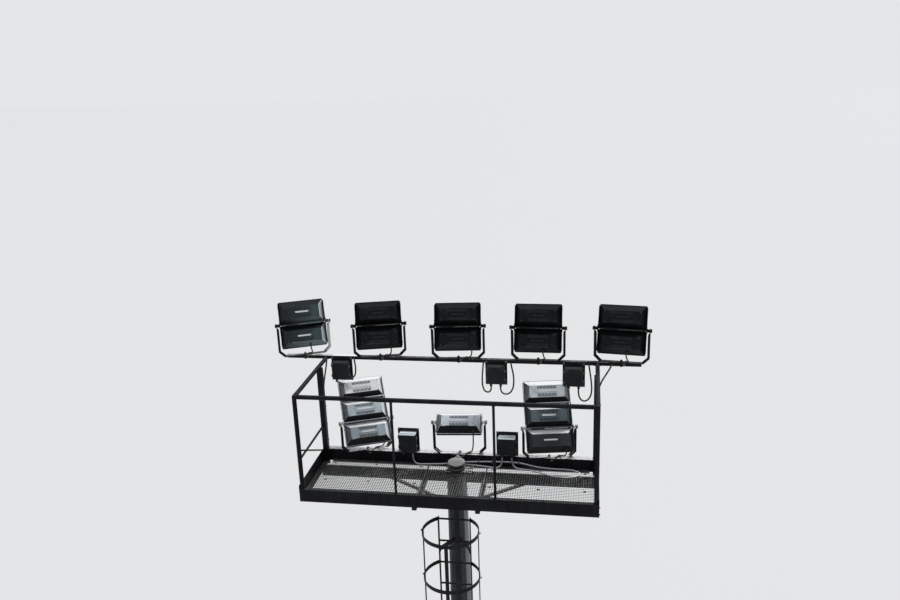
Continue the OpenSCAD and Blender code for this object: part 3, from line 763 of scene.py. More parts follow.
@dataclass(frozen=True)
class Housing:
    """Powder-coated casting of one lamp, with light and shade painted on by facing, and dirt in clouds and
    streaks.

    The faces are the colours of the flat backs, from the lowest module up, with light and shade painted on
    module by module. The colour of the left side spreads over the back as far as shaded says, and disc is the
    colour outside the side plates.
    """

    name: str
    faces: tuple[Colour, ...]
    # Colours of the faces that look up, down, left and right: painted light and shade.
    top: Colour
    under: Colour
    left: Colour
    right: Colour
    lamp: Lamp
    shine: float = 0.15
    disc: Colour | None = None
    shaded: Span | None = None

    # Colour of dirt, and of painted shade in the fin grooves.
    GRIME_AND_GROOVE_SHADE = (0.05, 0.052, 0.05)
    FIN_PITCH = 0.016
    DISC_X = (0.2655, 0.2675)

    def mix(self) -> Finish:
        """Makes the material, with the frame of the lamp as its own.

        Returns:
            The finished material.
        """
        paint = Paint(self.name)
        place = self.lamp.head
        at = paint.undo(paint.place(), place)
        facing = paint.undo(paint.facing(), place.to_3x3().to_4x4())
        clouds = paint.noise(at, 7, 6, 0.6)
        grain = paint.noise(at, 260, 3, 0.5)
        streak = paint.noise(paint.stretch(at, (38, 12, 2.4)), 1, 4, 0.6)
        up, across = paint.axis(facing, "Z"), paint.axis(facing, "X")
        height, along = paint.axis(at, "Z"), paint.axis(at, "X")
        # Each module's back takes its own colour: painted light and shade, module by module.
        colour = self.faces[0]
        for k, face in enumerate(self.faces[1:], 1):
            seam = (self.lamp.above - self.lamp.modules + k) * MODULE_PITCH
            colour = paint.mix(height.step(seam - 0.002, seam + 0.002), colour, face)
        colour = paint.mix(clouds.step(0.35, 0.7) * 0.18, colour, self.GRIME_AND_GROOVE_SHADE)
        # Painted shade and light by facing: undersides, then the sides, then the tops.
        colour = paint.mix((0 - up).step(0.2, 0.4), colour, self.under)
        if self.shaded:
            colour = paint.mix(along.step(*self.shaded), self.left, colour)
        colour = paint.mix((0 - across).step(0.35, 0.7), colour, self.left)
        colour = paint.mix(across.step(0.35, 0.7), colour, self.right)
        colour = paint.mix(up.step(0.2, 0.5), colour, self.top)
        if self.disc:
            colour = paint.mix(along.at_least(0 - along).step(*self.DISC_X), colour, self.disc)
        # Stripes of fins on the backs: painted shade in their grooves, mixed with real dirt streaks.
        wave = (along * (math.tau / self.FIN_PITCH)).sine()
        fins = wave.step(-0.6, 0.6) * (0 - paint.axis(facing, "Y")).step(0.9, 0.98)
        dirt = (clouds * 0.5 + streak * 0.55).step(0.54, 0.74)
        colour = paint.mix(dirt * 0.3 + fins * 0.12, colour, self.GRIME_AND_GROOVE_SHADE)
        paint.set(Base_Color=colour, Roughness=0.42 + dirt * 0.3 + grain * 0.08)
        paint.set(Metallic=0.0, Specular_IOR_Level=self.shine)
        paint.bump(grain * 0.3 + fins, 0.0008)
        return paint.material


@dataclass(frozen=True)
class Moulding:
    """A plain moulded or rubber finish: faint clouds of dust; on top, dust and painted light but for a gap
    along Y.
    """

    name: str
    shade: Colour
    roughness: float = 0.5
    dust: float = 0.2
    shine: float = 0.5
    # The colour of dust and of painted light.
    dust_and_light: Colour = (0.33, 0.33, 0.31)
    # The share of dust and of painted light on the faces that look up.
    top_dust_and_light: float = 0.1
    gap: Span | None = None

    def mix(self) -> Finish:
        """Makes the material.

        Returns:
            The finished material.
        """
        paint = Paint(self.name)
        at = paint.place()
        clouds = paint.noise(at, 11, 5, 0.6)
        # Faces that look up take dust and painted light; tops within the gap along Y take none and stay dark,
        # a painted shade.
        top_dust_and_light = paint.axis(paint.facing(), "Z").step(0.2, 0.9) * self.top_dust_and_light
        if self.gap:
            top_dust_and_light = top_dust_and_light * (1 - paint.axis(at, "Y").within(*self.gap, 0.001))
        pale_share = clouds.step(0.35, 0.75) * (0.5 * self.dust) + top_dust_and_light
        colour = paint.mix(pale_share, self.shade, self.dust_and_light)
        paint.set(Base_Color=colour, Roughness=self.roughness + clouds * 0.15)
        paint.set(Metallic=0.0, Specular_IOR_Level=self.shine)
        paint.bump(paint.noise(at, 300, 3, 0.5), 0.0002)
        return paint.material


@dataclass(frozen=True)
class Glass:
    """Toughened front glass with a film of dust."""

    name: str = "front_glass"

    def mix(self) -> Finish:
        """Makes the material.

        Returns:
            The finished material.
        """
        paint = Paint(self.name)
        film = paint.noise(paint.place(), 9, 6, 0.65).step(0.4, 0.8)
        paint.set(Base_Color=(0.93, 0.97, 0.96), Roughness=0.03 + film * 0.12)
        paint.set(Transmission_Weight=1.0, IOR=1.45)
        return paint.material


class Palette:
    """Every finish on the pylon, mixed once."""

    def __init__(self) -> None:
        """Mixes the finishes."""
        # Near-black steel is painted shade: frame, rails, arms, yokes, pole and head as they look in shadow.
        black, shadow_worn = (0.006, 0.006, 0.008), (0.020, 0.022, 0.025)
        bright, warm = (0.75, 0.73, 0.74), (0.62, 0.60, 0.57)
        arm_left = Matrix.Translation((-0.95, 0, 0)) @ Matrix.Rotation(math.pi, 4, "Z")
        self.dark = Steel("dark_steel", black, shadow_worn, dust=0.15, shine=0.2).mix()
        self.rail = Steel("rail_steel", black, shadow_worn, dust=0.08, rust=0.1, shine=0.15).mix()
        self.frame = Steel("frame_steel", black, (0.018, 0.020, 0.024), dust=0.2, shine=0.15).mix()
        # Upper arm: dust and painted light on its tops, and more painted light on the tops of its left end.
        self.upper_arm = Steel(
            "upper_arm_steel", black, shadow_worn, dust=0.28, shine=0.2, dust_and_light=(0.66, 0.66, 0.67),
            lit_part=arm_left, lit_part_tops_only=True, lit_top=(-1.50, -1.16),
        ).mix()
        # Lower arm, braces and lower yokes: dark sides as painted shade, tops pale with dust and painted
        # light.
        self.lower_arm = Steel(
            "lower_arm_steel", black, shadow_worn, dust=3.0, rust=0.1, shine=0.2, dust_and_light=bright
        ).mix()
        self.lower_yoke = Steel(
            "lower_yoke_steel", black, shadow_worn, dust=2.5, rust=0.1, shine=0.2, dust_and_light=bright
        ).mix()
        # Yoke 1: painted light on the part beyond X = 0.2 of its foot.
        self.outer_yoke = Steel(
            "side_lit_yoke", black, shadow_worn, dust=0.3, shine=0.2, dust_and_light=(0.62, 0.64, 0.65),
            lit_part=LAMPS[0].foot,
        ).mix()
        self.pole = Steel(
            "pole_steel", (0.010, 0.011, 0.013), (0.040, 0.042, 0.046), spangle=0.1, shine=0.25,
            lit_side=(0.22, 0.24, 0.26),
        ).mix()
        # Spigot and bracket: dark below and paler above a height; the bracket's upward faces take dust and
        # painted light.
        self.spigot = Steel(
            "spigot_steel", black, (0.05, 0.052, 0.055), dust=0.1, dust_and_light=warm, pale_above=FLOOR + 0.0885
        ).mix()
        self.bracket = Steel(
            "bracket_steel", black, (0.03, 0.031, 0.034), dust=1.4, dust_and_light=warm, pale_above=FLOOR + 0.094
        ).mix()
        self.mast = Steel("mast_zinc", (0.17, 0.18, 0.19), (0.33, 0.34, 0.35), spangle=0.3).mix()
        self.zinc = Steel(
            "zinc", (0.30, 0.31, 0.32), (0.52, 0.53, 0.53), spangle=0.3, roughness=0.42
        ).mix()
        # Grating: dark bars as painted shade, their tops pale with dust and painted light.
        self.grate = Steel(
            "grating_zinc", (0.030, 0.032, 0.034), (0.10, 0.105, 0.11), dust=1.2, rust=0.1,
            dust_and_light=(0.50, 0.50, 0.48),
        ).mix()
        self.bolt = Steel("bolt_zinc", (0.06, 0.062, 0.066), (0.20, 0.205, 0.21), rust=0.5).mix()
        self.gear = Moulding("gear_housing", (0.006, 0.007, 0.009), 0.38, dust=0.05, shine=0.2).mix()
        # Standing gear boxes: tops pale with painted light, but the gap along Y left dark as painted shade.
        self.gear_low = Moulding(
            "standing_gear", (0.006, 0.008, 0.010), 0.38, dust=0.02, shine=0.2,
            dust_and_light=(0.80, 0.88, 0.90), top_dust_and_light=1.4, gap=(0.080, 0.102),
        ).mix()
        self.rubber = Moulding("black_sheath", (0.010, 0.010, 0.011), shine=0.3).mix()
        # Grey sheath: its tops pale with painted light.
        self.sheath = Moulding(
            "grey_sheath", (0.24, 0.24, 0.25), 0.45, top_dust_and_light=1.2, dust_and_light=(0.92, 0.91, 0.94)
        ).mix()
        self.board = Moulding("lens_board", (0.62, 0.63, 0.62), 0.35, dust=0.05).mix()
        self.lens = Moulding("lens_dome", (0.70, 0.66, 0.48), 0.12, dust=0.0).mix()
        self.plate = Moulding("bare_plate", (0.78, 0.80, 0.81), 0.35).mix()
        self.seam = Moulding("seam_strip", (0.030, 0.031, 0.033), shine=0.2).mix()
        self.vent = Moulding("vent_shadow", (0.012, 0.014, 0.016), 0.7, dust=0.1).mix()
        # A painted highlight: the grey seam strips of lamp 1.
        self.rib = Moulding("lit_seam_strip", (0.17, 0.19, 0.20)).mix()
        self.glass = Glass().mix()

    @staticmethod
    def housing(lamp: Lamp) -> Finish:
        """The casting finish of one lamp, as the photo shows each.

        Args:
            lamp: the lamp whose casting is dressed.

        Returns:
            The finished material.
        """
        name = f"{lamp.body}_housing"
        # Lamp 1: top and left near black as painted shade, underside and right pale as painted light.
        if lamp.number == 1:
            black, slate, pale = (0.004, 0.005, 0.006), (0.055, 0.090, 0.098), (0.14, 0.18, 0.19)
            sides = {"top": black, "under": pale, "left": black, "right": (0.66, 0.70, 0.74)}
            return Housing(name, (slate, slate), lamp=lamp, shine=0.2, shaded=(-0.30, 0.16), **sides).mix()
        # Lamps 2 to 5: near black all over, painted shade.
        if lamp.row is Row.UPPER:
            black = (0.004, 0.005, 0.006)
            return Housing(name, (black, black), black, black, black, black, lamp, shine=0.1).mix()
        # Lower lamps: tops white, undersides black, sides and module backs lighter and darker: painted light
        # and shade.
        white, pale, slate = (0.96, 0.97, 0.98), (0.74, 0.81, 0.85), (0.040, 0.050, 0.058)
        black, disc = (0.006, 0.006, 0.007), (0.62, 0.65, 0.66)
        faces, left, right = {
            6: (((0.40, 0.46, 0.50), (0.54, 0.62, 0.66), white), black, white),
            7: ((pale,), slate, (0.50, 0.54, 0.56)),
            8: ((slate, (0.13, 0.165, 0.185), pale), slate, slate),
        }[lamp.number]
        return Housing(name, faces, white, black, left, right, lamp, disc=disc).mix()


@dataclass
class Studio:
    """The camera of the photograph, a pale floor and soft light."""

    eye: Point = (1.462, -8.560, 29.1865)
    yaw: float = 9.739
    pitch: float = 17.026
    roll: float = -2.062
    lens: float = 33.836
    floor_size: float = 900.0
    sun_strength: float = 2.2
    sky_strength: float = 0.55
    backdrop: Colour = (0.78, 0.79, 0.80)

    def camera(self) -> None:
        """Sets the camera at the photograph's viewpoint."""
        yaw, pitch, roll = (math.radians(a) for a in (self.yaw, self.pitch, self.roll))
        ahead = Vector((-math.sin(yaw) * math.cos(pitch), math.cos(yaw) * math.cos(pitch), -math.sin(pitch)))
        level = Vector((math.cos(yaw), math.sin(yaw), 0))
        raised = level.cross(ahead)
        right = level * math.cos(roll) + raised * math.sin(roll)
        up = raised * math.cos(roll) - level * math.sin(roll)
        lens = bpy.data.cameras.new("viewpoint")
        lens.lens = self.lens
        lens.sensor_width = 36.0
        lens.clip_start, lens.clip_end = 0.1, 3000.0
        camera = bpy.data.objects.new("viewpoint", lens)
        camera.matrix_world = Matrix.Translation(self.eye) @ Matrix((right, up, -ahead)).transposed().to_4x4()
        bpy.context.collection.objects.link(camera)
        bpy.context.scene.camera = camera

    def ground(self) -> None:
        """Lays the plain pale floor that the flange stands on."""
        floor = Bench.block((self.floor_size, self.floor_size, 0.2), (0, 0, -0.1005), bevel=0.05)
        floor.name = "studio_floor"
        paint = Paint("studio_floor")
        tone = paint.noise(paint.place(), 0.05, 2)
        paint.set(Base_Color=paint.mix(tone * 0.1, (0.72, 0.72, 0.71), (0.66, 0.66, 0.66)), Roughness=0.9)
        Bench.dress(floor, paint.material)

    def light(self) -> None:
        """Sets a soft sun from the far right and an even sky."""
        sun = bpy.data.lights.new("soft_sun", "SUN")
        sun.energy = self.sun_strength
        sun.angle = math.radians(12)
        lamp = bpy.data.objects.new("soft_sun", sun)
        lamp.rotation_euler = Vector((0.45, 0.55, 0.95)).to_track_quat("Z", "Y").to_euler()
        bpy.context.collection.objects.link(lamp)
        self.sky()
        bpy.context.scene.view_settings.view_transform = "Standard"

    def sky(self) -> None:
        """An even sky, which the camera sees as pale as the floor."""
        world = bpy.data.worlds.new("studio")
        world.use_nodes = True
        nodes, links = world.node_tree.nodes, world.node_tree.links
        light = nodes["Background"]
        light.inputs[0].default_value = (0.93, 0.95, 1.0, 1.0)
        light.inputs[1].default_value = self.sky_strength
        seen = nodes.new("ShaderNodeBackground")
        seen.inputs[0].default_value = (*self.backdrop, 1.0)
        rays, mix = nodes.new("ShaderNodeLightPath"), nodes.new("ShaderNodeMixShader")
        links.new(rays.outputs["Is Camera Ray"], mix.inputs[0])
        links.new(light.outputs[0], mix.inputs[1])
        links.new(seen.outputs[0], mix.inputs[2])
        links.new(mix.outputs[0], nodes["World Output"].inputs[0])
        bpy.context.scene.world = world

    def build(self) -> None:
        """Builds the whole studio."""
        self.camera()
        self.ground()
        self.light()
        log.info("studio: camera, floor and light")


@dataclass
class Coats:
    """The finishes of the CAD nodes that stay in view."""

    palette: Palette

    def build(self) -> None:
        """Dresses every CAD node, by the family its name belongs to."""
        palette, nodes = self.palette, frame["nodes"]
        families = {
            ("base_flange", "pole_lower", "pole_middle", "service_door"): palette.mast,
            ("pole_upper",): palette.pole,
            ("head_spigot",): palette.spigot,
            ("head_bracket",): palette.bracket,
            ("gear_boxes_upper",): palette.gear,
            ("gear_boxes_lower",): palette.gear_low,
            ("cables_upper",): palette.rubber,
            ("cables_lower",): palette.sheath,
            ("floor",): palette.grate,
            ("guardrail",): palette.rail,
            ("frame",): palette.frame,
            ("under_braces", "lower_arm"): palette.lower_arm,
            ("upper_arm",): palette.upper_arm,
            ("yoke_1",): palette.outer_yoke,
            tuple(lamp.yoke for lamp in LAMPS if lamp.row is Row.LOWER): palette.lower_yoke,
        }
        for name, node in nodes.items():
            found = [finish for family, finish in families.items() if name.startswith(family)]
            Bench.dress(node, found[0] if found else palette.dark)
        for lamp in LAMPS:
            Bench.dress(nodes[lamp.body], palette.housing(lamp))
        log.info("coats: %d CAD nodes", len(nodes))


@dataclass
class Grating:
    """Fine welded grating that stands for the three coarse floor nodes."""

    palette: Palette
    pitches: Pair = (0.026, 0.033)
    widths: Pair = (0.0030, 0.0026)
    depths: Pair = (0.014, 0.004)
    sinks: Pair = (0.0, 0.0004)
    edge: float = 0.005
    bracket_r: float = 0.104
    slot: float = 0.07

    POSTS = (
        (1.550, 0.050, 0.100, 0.045),
        (1.572, 0.030, -0.770, 0.030),
        (0.530, 0.018, -0.780, 0.020),
    )

    def cut_outs(self) -> list[tuple[Span, Span]]:
        """Stretches in X and Y that the posts and the pole's bracket pass through.

        Returns:
            The span of each along X and along Y.
        """
        made = [
            ((side * x - half_x, side * x + half_x), (y - half_y, y + half_y))
            for side in SIDES for x, half_x, y, half_y in self.POSTS
        ]
        return [*made, ((-self.slot, self.slot), (0.0, 0.4))]

    def clear(self, low: float, high: float, at: float, axis: int) -> list[Span]:
        """Stretches of a bar that stay after the cut-outs.

        Args:
            low: start of the bar.
            high: end of the bar.
            at: where the bar lies on the other axis.
            axis: the axis that the bar runs along, 0 or 1.

        Returns:
            The stretches that are left, each longer than two bars are thick.
        """
        gaps = [cut[axis] for cut in self.cut_outs() if cut[1 - axis][0] < at < cut[1 - axis][1]]
        if abs(at) < self.bracket_r:
            reach = math.sqrt(self.bracket_r**2 - at**2)
            gaps.append((-reach, reach))
        spans, start = [], low
        for first, last in sorted(gaps):
            if first > start:
                spans.append((start, min(first, high)))
            start = max(start, last)
        spans.append((start, high))
        return [(a, b) for a, b in spans if b - a > 2 * self.widths[0]]

    def bars(self, low: Vector, high: Vector, across: int) -> list[Matrix]:
        """Places of a unit block for the bars that lie side by side on one axis of a panel.

        Args:
            low: the lowest corner of the panel.
            high: its highest corner.
            across: the axis on which the bars lie side by side, 0 or 1.

        Returns:
            A place for every stretch of bar.
        """
        along = 1 - across
        reach = high[across] - low[across]
        count = round(reach / self.pitches[across])
        places = []
        for i in range(count + 1):
            edge = i in (0, count)
            wide = self.edge if edge else self.widths[across]
            foot = low.z if edge else high.z - self.depths[across]
            at = low[across] + wide / 2 + (reach - wide) * i / count
            for start, end in self.clear(low[along], high[along], at, along):
                corner, size = Vector((0, 0, foot)), Vector((0, 0, high.z - self.sinks[across] - foot))
                corner[across], corner[along] = at - wide / 2, start
                size[across], size[along] = wide, end - start
                places.append(Matrix.Translation(corner) @ Matrix.Diagonal((*size, 1)))
        return places

    def build(self) -> None:
        """Lays the three panels."""
        for node in ("floor_left", "floor_middle", "floor_right"):
            low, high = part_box(node)
            unit = Bench.block((1, 1, 1), (0.5, 0.5, 0.5))
            places = self.bars(low, high, 0) + self.bars(low, high, 1)
            piece = Bench.repeat(unit, places, node.replace("floor", "grating"))
            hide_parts(node)
            Bench.mount(piece, "grating", self.palette.grate)
            log.info("grating: %s, %d faces", piece.name, len(piece.data.polygons))


@dataclass
class LampFront:
    """What closes the front of each module: board, lens domes, gasket, glass and screws."""

    palette: Palette
    glass: Pair = (0.480, 0.228)
    module: Pair = (0.520, 0.268)
    recess_y: float = 0.054
    face_y: float = 0.062
    lens_r: float = 0.0165
    grid: tuple[int, int] = (11, 5)
    margin: float = 0.05
    rim: float = 0.010

    def slab(self, gap: float, thick: float, y: float, bevel: float = 0.0) -> Piece:
        """A flat slab as large as the glass, less a gap."""
        return Bench.block((self.glass[0] - gap, thick, self.glass[1] - gap), (0, y, 0), bevel)

    def optics(self) -> Piece:
        """Pattern of one lens board with its domes.

        Returns:
            The board with all its domes.
        """
        board = self.slab(0.012, 0.0016, self.recess_y + 0.0008)
        Bench.edit(
            board, lambda: bpy.ops.mesh.inset(thickness=0.006, depth=0.0006), pick=lambda c, n: n.y > 0.9
        )
        Bench.dress(board, self.palette.board)
        dome = Bench.primitive(bpy.ops.mesh.primitive_ico_sphere_add, subdivisions=2, radius=self.lens_r)
        cut = {"plane_co": (0, 0.0001, 0), "plane_no": AHEAD, "clear_inner": True, "use_fill": True}
        Bench.edit(
            dome,
            lambda: bpy.ops.mesh.bisect(**cut),
            lambda: bpy.ops.mesh.select_all(action="SELECT"),
            lambda: bpy.ops.transform.resize(value=(1, 0.24, 1)),
        )
        Bench.smooth(Bench.dress(dome, self.palette.lens), 60)
        columns, rows = self.grid
        steps = [(size - self.margin) / (count - 1) for size, count in zip(self.glass, self.grid)]
        y = self.recess_y + 0.0018
        places = [
            Matrix.Translation(((i - (columns - 1) / 2) * steps[0], y, (j - (rows - 1) / 2) * steps[1]))
            for i in range(columns) for j in range(rows)
        ]
        return Bench.join([board, Bench.repeat(dome, places, "domes")], "optics")

    def pane(self) -> Piece:
        """Pattern of the front glass."""
        return Bench.dress(self.slab(0.004, 0.0018, self.face_y - 0.0012, 0.0004), self.palette.glass)

    def gasket(self) -> Piece:
        """Pattern of the rubber frame round the glass.

        Returns:
            The closed frame.
        """
        ring = self.slab(0.0004, 0.0016, self.face_y + 0.0002)
        Bench.edit(
            ring,
            lambda: bpy.ops.mesh.inset(thickness=0.009),
            lambda: bpy.ops.mesh.delete(type="FACE"),
            pick=lambda centre, normal: abs(normal.y) > 0.9,
        )
        Bench.edit(
            ring,
            lambda: bpy.ops.mesh.select_mode(type="EDGE"),
            lambda: bpy.ops.mesh.select_non_manifold(),
            lambda: bpy.ops.mesh.bridge_edge_loops(),
            pick=lambda centre, normal: False,
        )
        return Bench.dress(ring, self.palette.rubber)

    def screws(self) -> Piece:
        """Pattern of the screws in the rim of one module.

        Returns:
            All of them as one object.
        """
        half_x, half_z = self.module[0] / 2 - self.rim, self.module[1] / 2 - self.rim
        spots = [(x, z) for x in (-half_x, -half_x / 3, half_x / 3, half_x) for z in (-half_z, half_z)]
        spots += [(x, 0.0) for x in (-half_x, half_x)]
        places = [Bench.stand((x, self.face_y - 0.0012, z), AHEAD) for x, z in spots]
        return Bench.dress(Bench.repeat(Hardware.pan_screw(0.0042), places, "rim_screws"), self.palette.bolt)

    def build(self) -> None:
        """Fits every module of every lamp."""
        patterns = {
            "optics": self.optics(), "glass": self.pane(), "gasket": self.gasket(), "screws": self.screws()
        }
        for lamp in LAMPS:
            for part, pattern in patterns.items():
                piece = Bench.repeat(Bench.copy(pattern), lamp.centres, f"{lamp.body}_{part}")
                Bench.mount(piece, lamp.slot, body=lamp.body)
            log.info("lamp front: %s, %d modules", lamp.body, lamp.modules)
        for pattern in patterns.values():
            bpy.data.objects.remove(pattern)


@dataclass
class LampTrim:
    """Small parts of every lamp: side ribs, vents, bare plate, screws, seam strips and knob grips.

    Each module's side bevel is given as X, Y, foot and head at its front edge and at its back edge.
    """

    palette: Palette
    back_y: float = -0.062
    bevel_front: tuple[float, ...] = (0.252, 0.028, -0.114, 0.114)
    bevel_back: tuple[float, ...] = (0.202, -0.062, -0.070, 0.046)
    bevel_faces: Pair = (0.874, -0.486)
    rib_steps: tuple[float, ...] = (0.2, 0.4, 0.6, 0.8)
    rib_size: Point = (0.006, 1, 0.005)
    vents: tuple[Span, ...] = ((0.020, 0.050), (-0.072, -0.038))
    vent_width: float = 0.214
    plate_size: Pair = (0.150, 0.018)
    plate_at: Point = (0, -0.066, -0.009)
    screw_r: float = 0.0052
    back_screws: tuple[Pair, Pair] = ((-0.19, 0.19), (-0.070, 0.046))
    side_screws: tuple[Pair, Pair] = ((0.0, 0.030), (-0.07, 0.07))
    side_x: float = 0.265
    knob_x: float = 0.3135
    knob_r: float = 0.0192
    ridges: int = 16
    ridge_size: Point = (0.0135, 0.0034, 0.0034)
    seal_y: float = 0.034
    seal_height: Span = (-0.0059, 0.0059)
    slit_z: float = -0.0022
    closed: tuple[Span, ...] = ((-0.198, -0.048), (0.215, 0.250))
    seal_end: float = 0.250
    drip: tuple[Span, float] = ((-0.150, 0.115), -0.079)

    def ribs(self) -> Piece:
        """Pattern of the upright ribs on both side bevels of a module.

        Returns:
            All of them as one object.
        """
        places = []
        for side in SIDES:
            for s in self.rib_steps:
                edges = zip(self.bevel_front, self.bevel_back)
                x, y, low, high = (front + (back - front) * s for front, back in edges)
                way = (side * self.bevel_faces[0], self.bevel_faces[1], 0)
                stand = Bench.stand((side * x, y, (low + high) / 2), way)
                places.append(stand @ Matrix.Diagonal((1, high - low, 1, 1)))
        return Bench.repeat(Bench.block(self.rib_size, (0, 0, 0.0012), bevel=0.0015), places, "ribs")

    def slots(self) -> Piece:
        """Pattern of the shadowed vents between the back's short ribs.

        Returns:
            All of them as one object.
        """
        made = []
        for low, high in self.vents:
            at = (0, self.back_y - 0.0002, (low + high) / 2)
            made.append(Bench.block((self.vent_width, 0.0008, high - low), at, bevel=0.0003))
        return Bench.join(made, "slots")

    def plate(self) -> Piece:
        """Pattern of the bare plate on the raised field of the back."""
        return Bench.moved(Hardware.name_plate(*self.plate_size), Bench.stand(self.plate_at, BACK))

    def screws(self) -> Piece:
        """Pattern of the screws of a module, in its back and through both side plates.

        Returns:
            All of them as one object.
        """
        (xs, heights), (ys, side_heights) = self.back_screws, self.side_screws
        places = [Bench.stand((x, self.back_y, z), BACK) for x in xs for z in heights]
        places += [
            Bench.stand((side * self.side_x, y, z), (side, 0, 0))
            for side in SIDES for y in ys for z in side_heights
        ]
        return Bench.repeat(Hardware.pan_screw(self.screw_r), places, "screws")

    def seals(self, lamp: Lamp) -> Piece:
        """Strips that close the seams between one lamp's modules, and the drip edge of the lowest.

        Args:
            lamp: the lamp to seal.

        Returns:
            The strips and the drip edge as one object.
        """
        below = Matrix.Translation((0, 0, -MODULE_PITCH / 2))
        seams = [place @ below for place in lamp.centres[:-1]]
        parts = []
        if seams:
            foot, head = self.seal_height
            spans = [(-self.seal_end, self.seal_end, self.slit_z)] + [(*span, head) for span in self.closed]
            strips = []
            for left, right, top in spans:
                at = ((left + right) / 2, self.seal_y, (top + foot) / 2)
                strips.append(Bench.block((right - left, 0.006, top - foot), at, bevel=0.001))
            parts.append(Bench.repeat(Bench.join(strips, "strips"), seams, "seals"))
        (left, right), z = self.drip
        at = ((left + right) / 2, self.back_y - 0.001, z)
        edge = Bench.block((right - left, 0.003, 0.006), at, bevel=0.001)
        parts.append(Bench.repeat(edge, lamp.centres[-1:], "drip_edge"))
        return Bench.join(parts, "seals")

    def grips(self, lamp: Lamp) -> Piece:
        """Ridges round the two clamping knobs of one lamp.

        Args:
            lamp: the lamp that has the knobs.

        Returns:
            All of them as one object.
        """
        places = []
        for side in SIDES:
            knob = lamp.head @ Matrix.Translation((side * self.knob_x, 0, 0))
            places += [knob @ Matrix.Rotation(math.tau * k / self.ridges, 4, "X") for k in range(self.ridges)]
        ridge = Bench.block(self.ridge_size, (0, 0, self.knob_r), bevel=0.0009)
        return Bench.repeat(ridge, places, f"{lamp.body}_grips")

    def build(self) -> None:
        """Trims every module of every lamp."""
        palette = self.palette
        for lamp in LAMPS:
            # Lamps of the lower row and lamp 1 get the bare plate; on the upper lamps it is black, painted
            # shade.
            pale_plate = lamp.row is Row.LOWER or lamp.number == 1
            patterns = {
                "ribs": (self.ribs(), frame["nodes"][lamp.body].data.materials[0]),
                "vents": (self.slots(), palette.vent),
                "screws": (self.screws(), palette.bolt),
                "plate": (self.plate(), palette.plate if pale_plate else palette.gear),
            }
            pieces = [
                Bench.dress(Bench.repeat(pattern, lamp.centres, part), finish)
                for part, (pattern, finish) in patterns.items()
            ]
            # Lamp 1's seam strips are grey, a painted highlight; the others are dark.
            pieces.append(Bench.dress(self.seals(lamp), palette.seam if lamp.number > 1 else palette.rib))
            trim = Bench.mount(Bench.join(pieces, f"{lamp.body}_trim"), lamp.slot, body=lamp.body)
            Bench.mount(self.grips(lamp), lamp.slot, palette.rubber, lamp.body)
            log.info("lamp trim: %s, %d faces", lamp.body, len(trim.data.polygons))


@dataclass
class LampLead:
    """The short lead of each lamp: gland, slack over the tilting joint, clip and grommet.

    The gland has a radius and a length, the clip's foot a height and a stand-off. A clip's share of the
    root's X, and the way from the yoke's foot to the lead's end, differ between the upper row and the lower.
    """

    palette: Palette
    radius: float = 0.0075
    roots_x: tuple[float, ...] = (0.06, 0.13, 0.16, 0.06, 0.06, 0.165, 0.165, 0.165)
    root: Pair = (-0.017, -0.104)
    out: Point = (0.0, -0.44, -0.90)
    gland: Pair = (0.0085, 0.030)
    tuck: float = 0.008
    clip: Pair = (-0.012, 0.0145)
    clip_share: Pair = (0.6, 0.72)
    least_clip_x: float = 0.055
    clip_foot: Pair = (0.006, 0.0085)
    end_drop: tuple[Point, Point] = ((0.03, -0.025, -0.020), (0.03, -0.0375, -0.034))
    slack: float = 0.09

    def end(self, lamp: Lamp) -> Vector:
        """Where the lead goes into the rear face of the arm."""
        return lamp.foot.translation + Vector(self.end_drop[lamp.row is Row.LOWER])

    def fit(self, lamp: Lamp) -> None:
        """Runs the lead of one lamp, in one part over each joint.

        Args:
            lamp: the lamp that has the lead.
        """
        lowest, root_x = lamp.centres[-1], self.roots_x[lamp.number - 1]
        clip_x = max(self.least_clip_x, self.clip_share[lamp.row is Row.LOWER] * root_x)
        (gland_r, gland_length), (foot_z, stand_off) = self.gland, self.clip_foot
        out = lowest.to_3x3() @ Vector(self.out)
        root = lowest @ Vector((root_x, *self.root))
        start, clip, end = root + out * gland_length, lamp.foot @ Vector((clip_x, *self.clip)), self.end(lamp)
        along = lamp.foot.to_3x3() @ Vector((-1, 0, 0))
        hang = Bench.sweep(start - out * self.tuck, out * self.slack, clip, along * 0.05, 14)
        turn = Bench.sweep(clip, along * 0.035 + Vector((0, 0, 0.014)), end, Vector((0, 0.07, 0)), 12)
        for line, body, onto, first, last in (
            (hang, lamp.body, lamp.yoke, start, clip),
            (turn, lamp.yoke, ROOT, clip, end),
        ):
            lead = Bench.dress(Bench.tube(line, self.radius, f"{body}_lead", 10), self.palette.rubber)
            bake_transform(lead)
            log.info("piece: %s, from %s to %s", lead.name, body, onto)
        gland = Bench.moved(Hardware.gland(gland_r, gland_length), Bench.stand(root, out))
        gland.name = f"{lamp.body}_gland"
        Bench.mount(gland, lamp.slot, self.palette.gear, lamp.body)
        place = lamp.foot @ Matrix.Translation((clip_x, self.clip[0], foot_z))
        turned = place @ Matrix.Rotation(math.pi / 2, 4, "Z")
        saddle = Bench.moved(Hardware.clamp(self.radius, stand_off), turned)
        saddle.name = f"{lamp.yoke}_clip"
        Bench.mount(saddle, lamp.yoke_slot, self.palette.bolt, lamp.yoke)

    def build(self) -> None:
        """Runs every lead, then sets the grommets in the arms."""
        for lamp in LAMPS:
            self.fit(lamp)
        places = [Bench.stand(self.end(lamp), BACK) for lamp in LAMPS]
        rings = Bench.repeat(Hardware.weld_ring(self.radius + 0.0035, 0.003), places, "lead_grommets")
        Bench.mount(rings, "cable", self.palette.sheath)
        log.info("lamp leads: %d", len(LAMPS))


